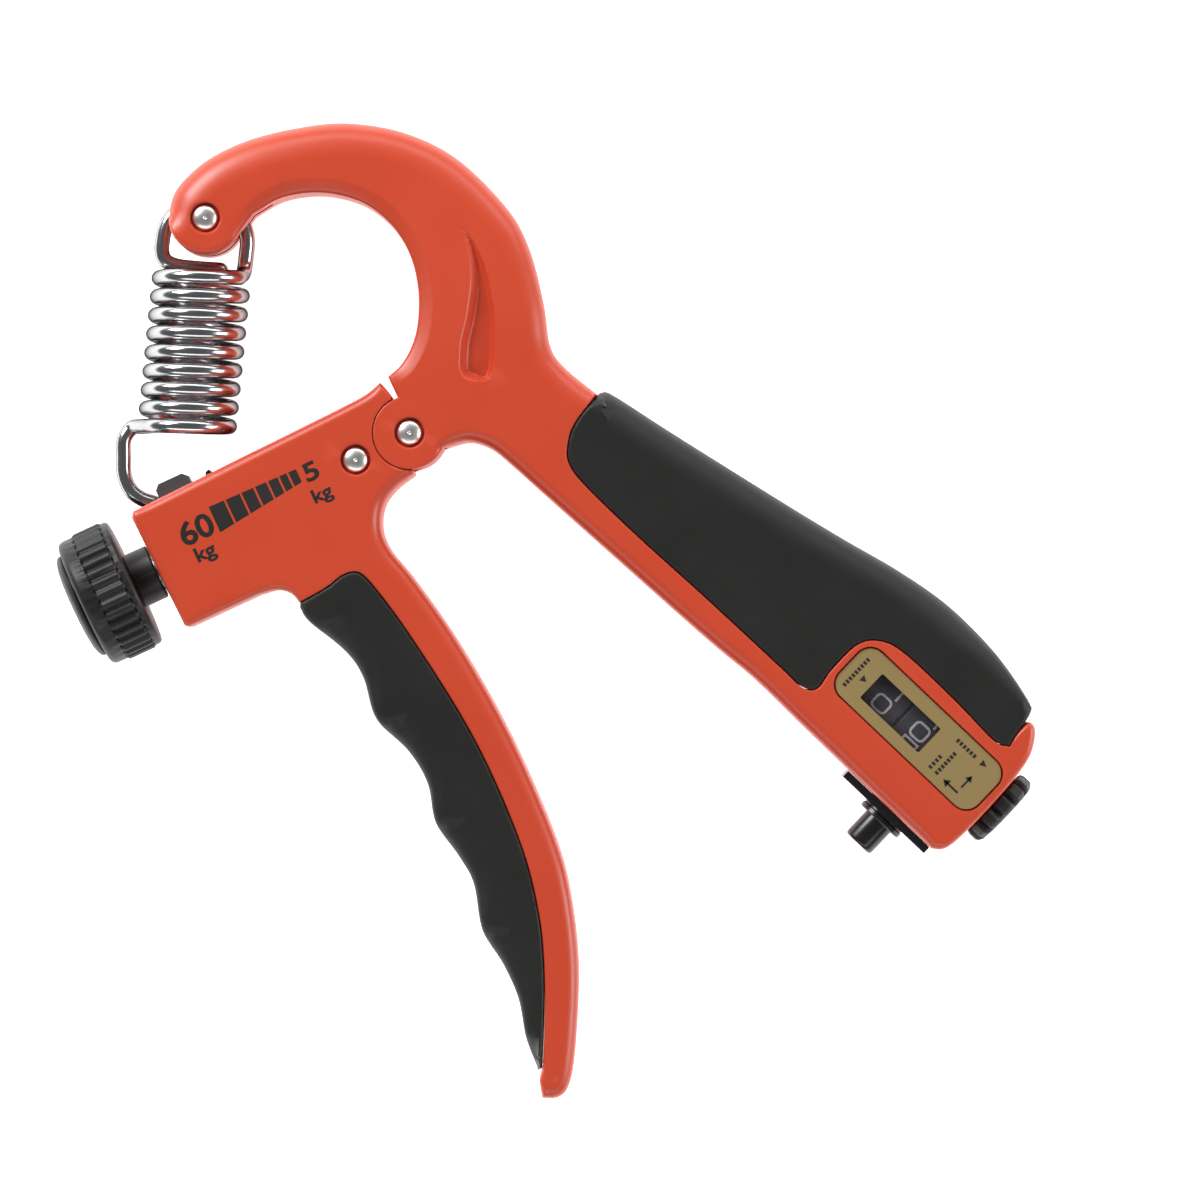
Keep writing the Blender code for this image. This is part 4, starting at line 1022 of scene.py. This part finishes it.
# The strokes of a digit: top, upper right, lower right, bottom, lower left, upper left, middle
SEGMENTS = (((0, 1), (1, 1)), ((1, 0.5), (1, 1)), ((1, 0), (1, 0.5)), ((0, 0), (1, 0)),
            ((0, 0), (0, 0.5)), ((0, 0.5), (0, 1)), ((0, 0.5), (1, 0.5)))
DIGIT_STROKES = ("1111110", "0110000", "1101101", "1111001", "0110011", "1011011", "1011111", "1110000",
                 "1111111", "1111011")


def wheel_digits(middle, ahead):
    """Ten digits wrapped round a wheel, centred on a place along the shaft."""
    wide, tall, stroke = 2.75, 2.6, 0.2
    bm = bmesh.new()
    for digit, strokes in enumerate(DIGIT_STROKES):
        lines = []
        for on, ends in zip(strokes, SEGMENTS):
            if on == "1" and digit:
                a, b = (Vector(((x - 0.5) * wide, (y - 0.5) * tall)) for x, y in ends)
                reach = (b - a).normalized() * stroke
                lines.append([(a - reach).lerp(b + reach, i / 6) for i in range(7)])
        if not digit:
            lines = [[Vector(p) for p in rounded_box(-wide / 2, wide / 2, -tall / 2, tall / 2, 0.75, 0.2)]]
            lines[0] += lines[0][:1]
        for line in lines:
            rings = []
            for before, p, after in zip(line[:1] + line, line, line[1:] + line[-1:]):
                across = (after - before).normalized().orthogonal() * stroke
                rings.append([on_wheel(p + across * s + Vector((middle, 0)), rise, digit, ahead)
                              for s, rise in ((-1, -0.1), (1, -0.1), (1, INK), (-1, INK))])
            loft(bm, rings)
    return bm


def on_wheel(p, rise, digit, ahead):
    """A point at (t, arc length) on a wheel's rim, for the digit's place round it."""
    turn = p[1] / WHEEL_R + tau * (digit + ahead) / 10
    r = WHEEL_R + rise
    return at_plate(p[0], r * sin(turn), WHEEL_Z + r * cos(turn))


def ratchet(turn, z, r):
    """Ten slanted teeth on the units wheel's hub."""
    return r - 0.6 * ((turn * 10) % 1) if z >= WHEEL_WIDTH and 3 < r < 3.5 else r


def number_wheels():
    for name, t0, ahead in (("tens_wheel", -6.9, -0.3), ("units_wheel", 0.8, 0)):
        profile = [(1.35, 0), (5.1, 0), (WHEEL_R, 0.2), (WHEEL_R, WHEEL_WIDTH - 0.2), (5.1, WHEEL_WIDTH),
                   (1.35, WHEEL_WIDTH)]
        if name == "units_wheel":
            profile[-1:] = [(3.3, WHEEL_WIDTH), (3.3, WHEEL_WIDTH + 2.7), (1.35, WHEEL_WIDTH + 2.7)]
        wheel = along(turned(profile, 80, ratchet), at_plate(t0, 0, WHEEL_Z), PLATE_WAY)
        place(solid(name + "_rim", wheel), WHEEL, "number_wheel", name, name)
        place(solid(name + "_digits", wheel_digits(t0 + WHEEL_WIDTH / 2, ahead)), DIGIT, "number_wheel", name)


def reset_knob():
    def fluted(turn, z, r):
        return r - 0.8 * max(0, cos(tau * turn * FLUTES)) ** 2 if r > 5.5 else r

    profile = [
        (0, 3), (4.6, 3), (5.6, 2.9), (6.2, 2.55), (6.5, 2.1), (6.5, 0.7), (6.3, 0.2), (5.9, 0),
        (1.3, 0), (1.3, 1.5), (0, 1.5)]
    bm = along(turned(profile, FLUTES * 12, fluted), at_plate(21.2, 0, WHEEL_Z), PLATE_WAY)
    place(solid("reset_knob_fluted", bm), KNOB_BLACK, "black_knob", "reset_shaft", "reset_knob")


def plunger():
    """The base plate, the guide with its flange, and the plunger with its stem."""
    plate = solid("base_plate", bevelled(prism(on_plate(box(0.4, 18.6, -13.9, -12.6)), -6.5, 6.5), 0.25))
    boolean(plate, cylinder(at_plate(PLUNGER_T, -16, 0), PLATE_ACROSS, 6, GUIDE_R))
    place(plate, BLACK, "black_plastic", "palm_lever", "counter_base_plate")
    profile = [
        (3, 0.1), (3.1, 0), (3.9, 0), (4.1, 0.2), (4.1, 0.8), (3.9, 1), (3.9, 9), (1.8, 9),
        (1.8, 8), (3, 8)]
    guide = along(turned(profile, 48), at_plate(PLUNGER_T, -15.2, 0), PLATE_ACROSS)
    place(solid("guide_sleeve", guide), BLACK, "black_plastic", "palm_lever", "plunger_guide")
    profile = [
        (0, 0), (2, 0), (2.4, 0.08), (2.62, 0.3), (2.7, 0.6), (2.7, 7.6), (2.6, 7.7), (1.4, 7.7),
        (1.4, 14.2), (0, 14.2)]
    stem = along(turned(profile, 48), at_plate(PLUNGER_T, -20.2, 0), PLATE_ACROSS)
    place(solid("plunger_stem", stem), BLACK, "black_plastic", "count_plunger", "plunger")


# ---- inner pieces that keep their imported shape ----
def finish_inner_pieces():
    finishes = ((STEEL, ("pivot_bush", "thrust_collar", "nut_pin", "spring_bush", "counter_shaft",
                         "carry_axle")),
                (BLACK, ("screw_bush", "screw_end_bush", "counter_frame")),
                (NYLON, ("pivot_washer_front", "pivot_washer_back", "carry_pinion", "plunger_pawl")))
    for material, names in finishes:
        for name in names:
            for material_slot in frame["nodes"][name].material_slots:
                material_slot.material = material


# ---- camera, floor and light ----
def studio():
    """A camera straight above the tool, a white floor, soft light boxes and a dim grey world."""
    scene = bpy.context.scene
    scene.view_settings.view_transform = "Standard"
    middle = to_frame((16.6, -37.8, 0))
    view_turn = radians(-25)
    distance, view_width = 1.5, 0.1967
    camera = new_object("camera", bpy.data.cameras.new("camera"))
    camera.data.sensor_width = 36
    camera.data.lens = 36 * distance / view_width
    camera.data.clip_start = 0.01
    camera.location = middle + Vector((0, 0, distance))
    camera.rotation_euler = (0, 0, view_turn)
    scene.camera = camera

    floor = solid("floor", prism(circle((0, 0), 1500, 64), -HALF - 3, -HALF - 0.02))
    floor.data.materials.append(FLOOR_WHITE)

    turn = Matrix.Rotation(view_turn, 3, "Z")
    right, ahead = turn @ Vector((1, 0, 0)), turn @ Vector((0, 1, 0))
    # name, place to the right, ahead and up, width and depth in metres, and power in watts
    lights = (("key", -0.75, 0.75, 0.6, 0.5, 0.5, 12), ("top", 0.2, 1, 0.55, 1.8, 0.3, 6),
              ("right", 0.95, -0.05, 0.5, 0.5, 0.5, 5.5), ("low", -0.1, -0.95, 0.75, 1.8, 0.3, 5))
    for name, x, y, height, wide, deep, power in lights:
        light = new_object(name, bpy.data.lights.new(name, "AREA"))
        light.data.shape = "RECTANGLE"
        light.data.size = wide
        light.data.size_y = deep
        light.data.energy = power
        light.location = middle + right * x + ahead * y + Vector((0, 0, height))
        light.rotation_euler = (middle - light.location).to_track_quat("-Z", "Y").to_euler()
    world = bpy.data.worlds.new("studio")
    world.use_nodes = True
    background = world.node_tree.nodes["Background"]
    background.inputs["Color"].default_value = (0.5, 0.51, 0.53, 1)
    background.inputs["Strength"].default_value = 0.24
    scene.world = world


studio()
finger_casing()
palm_casing()
rubber_grips()
rivets()
casing_screws()
knob()
lead_screw()
nut()
spring()
scale_print()
counter_label()
number_wheels()
reset_knob()
plunger()
return_spring()
finish_inner_pieces()
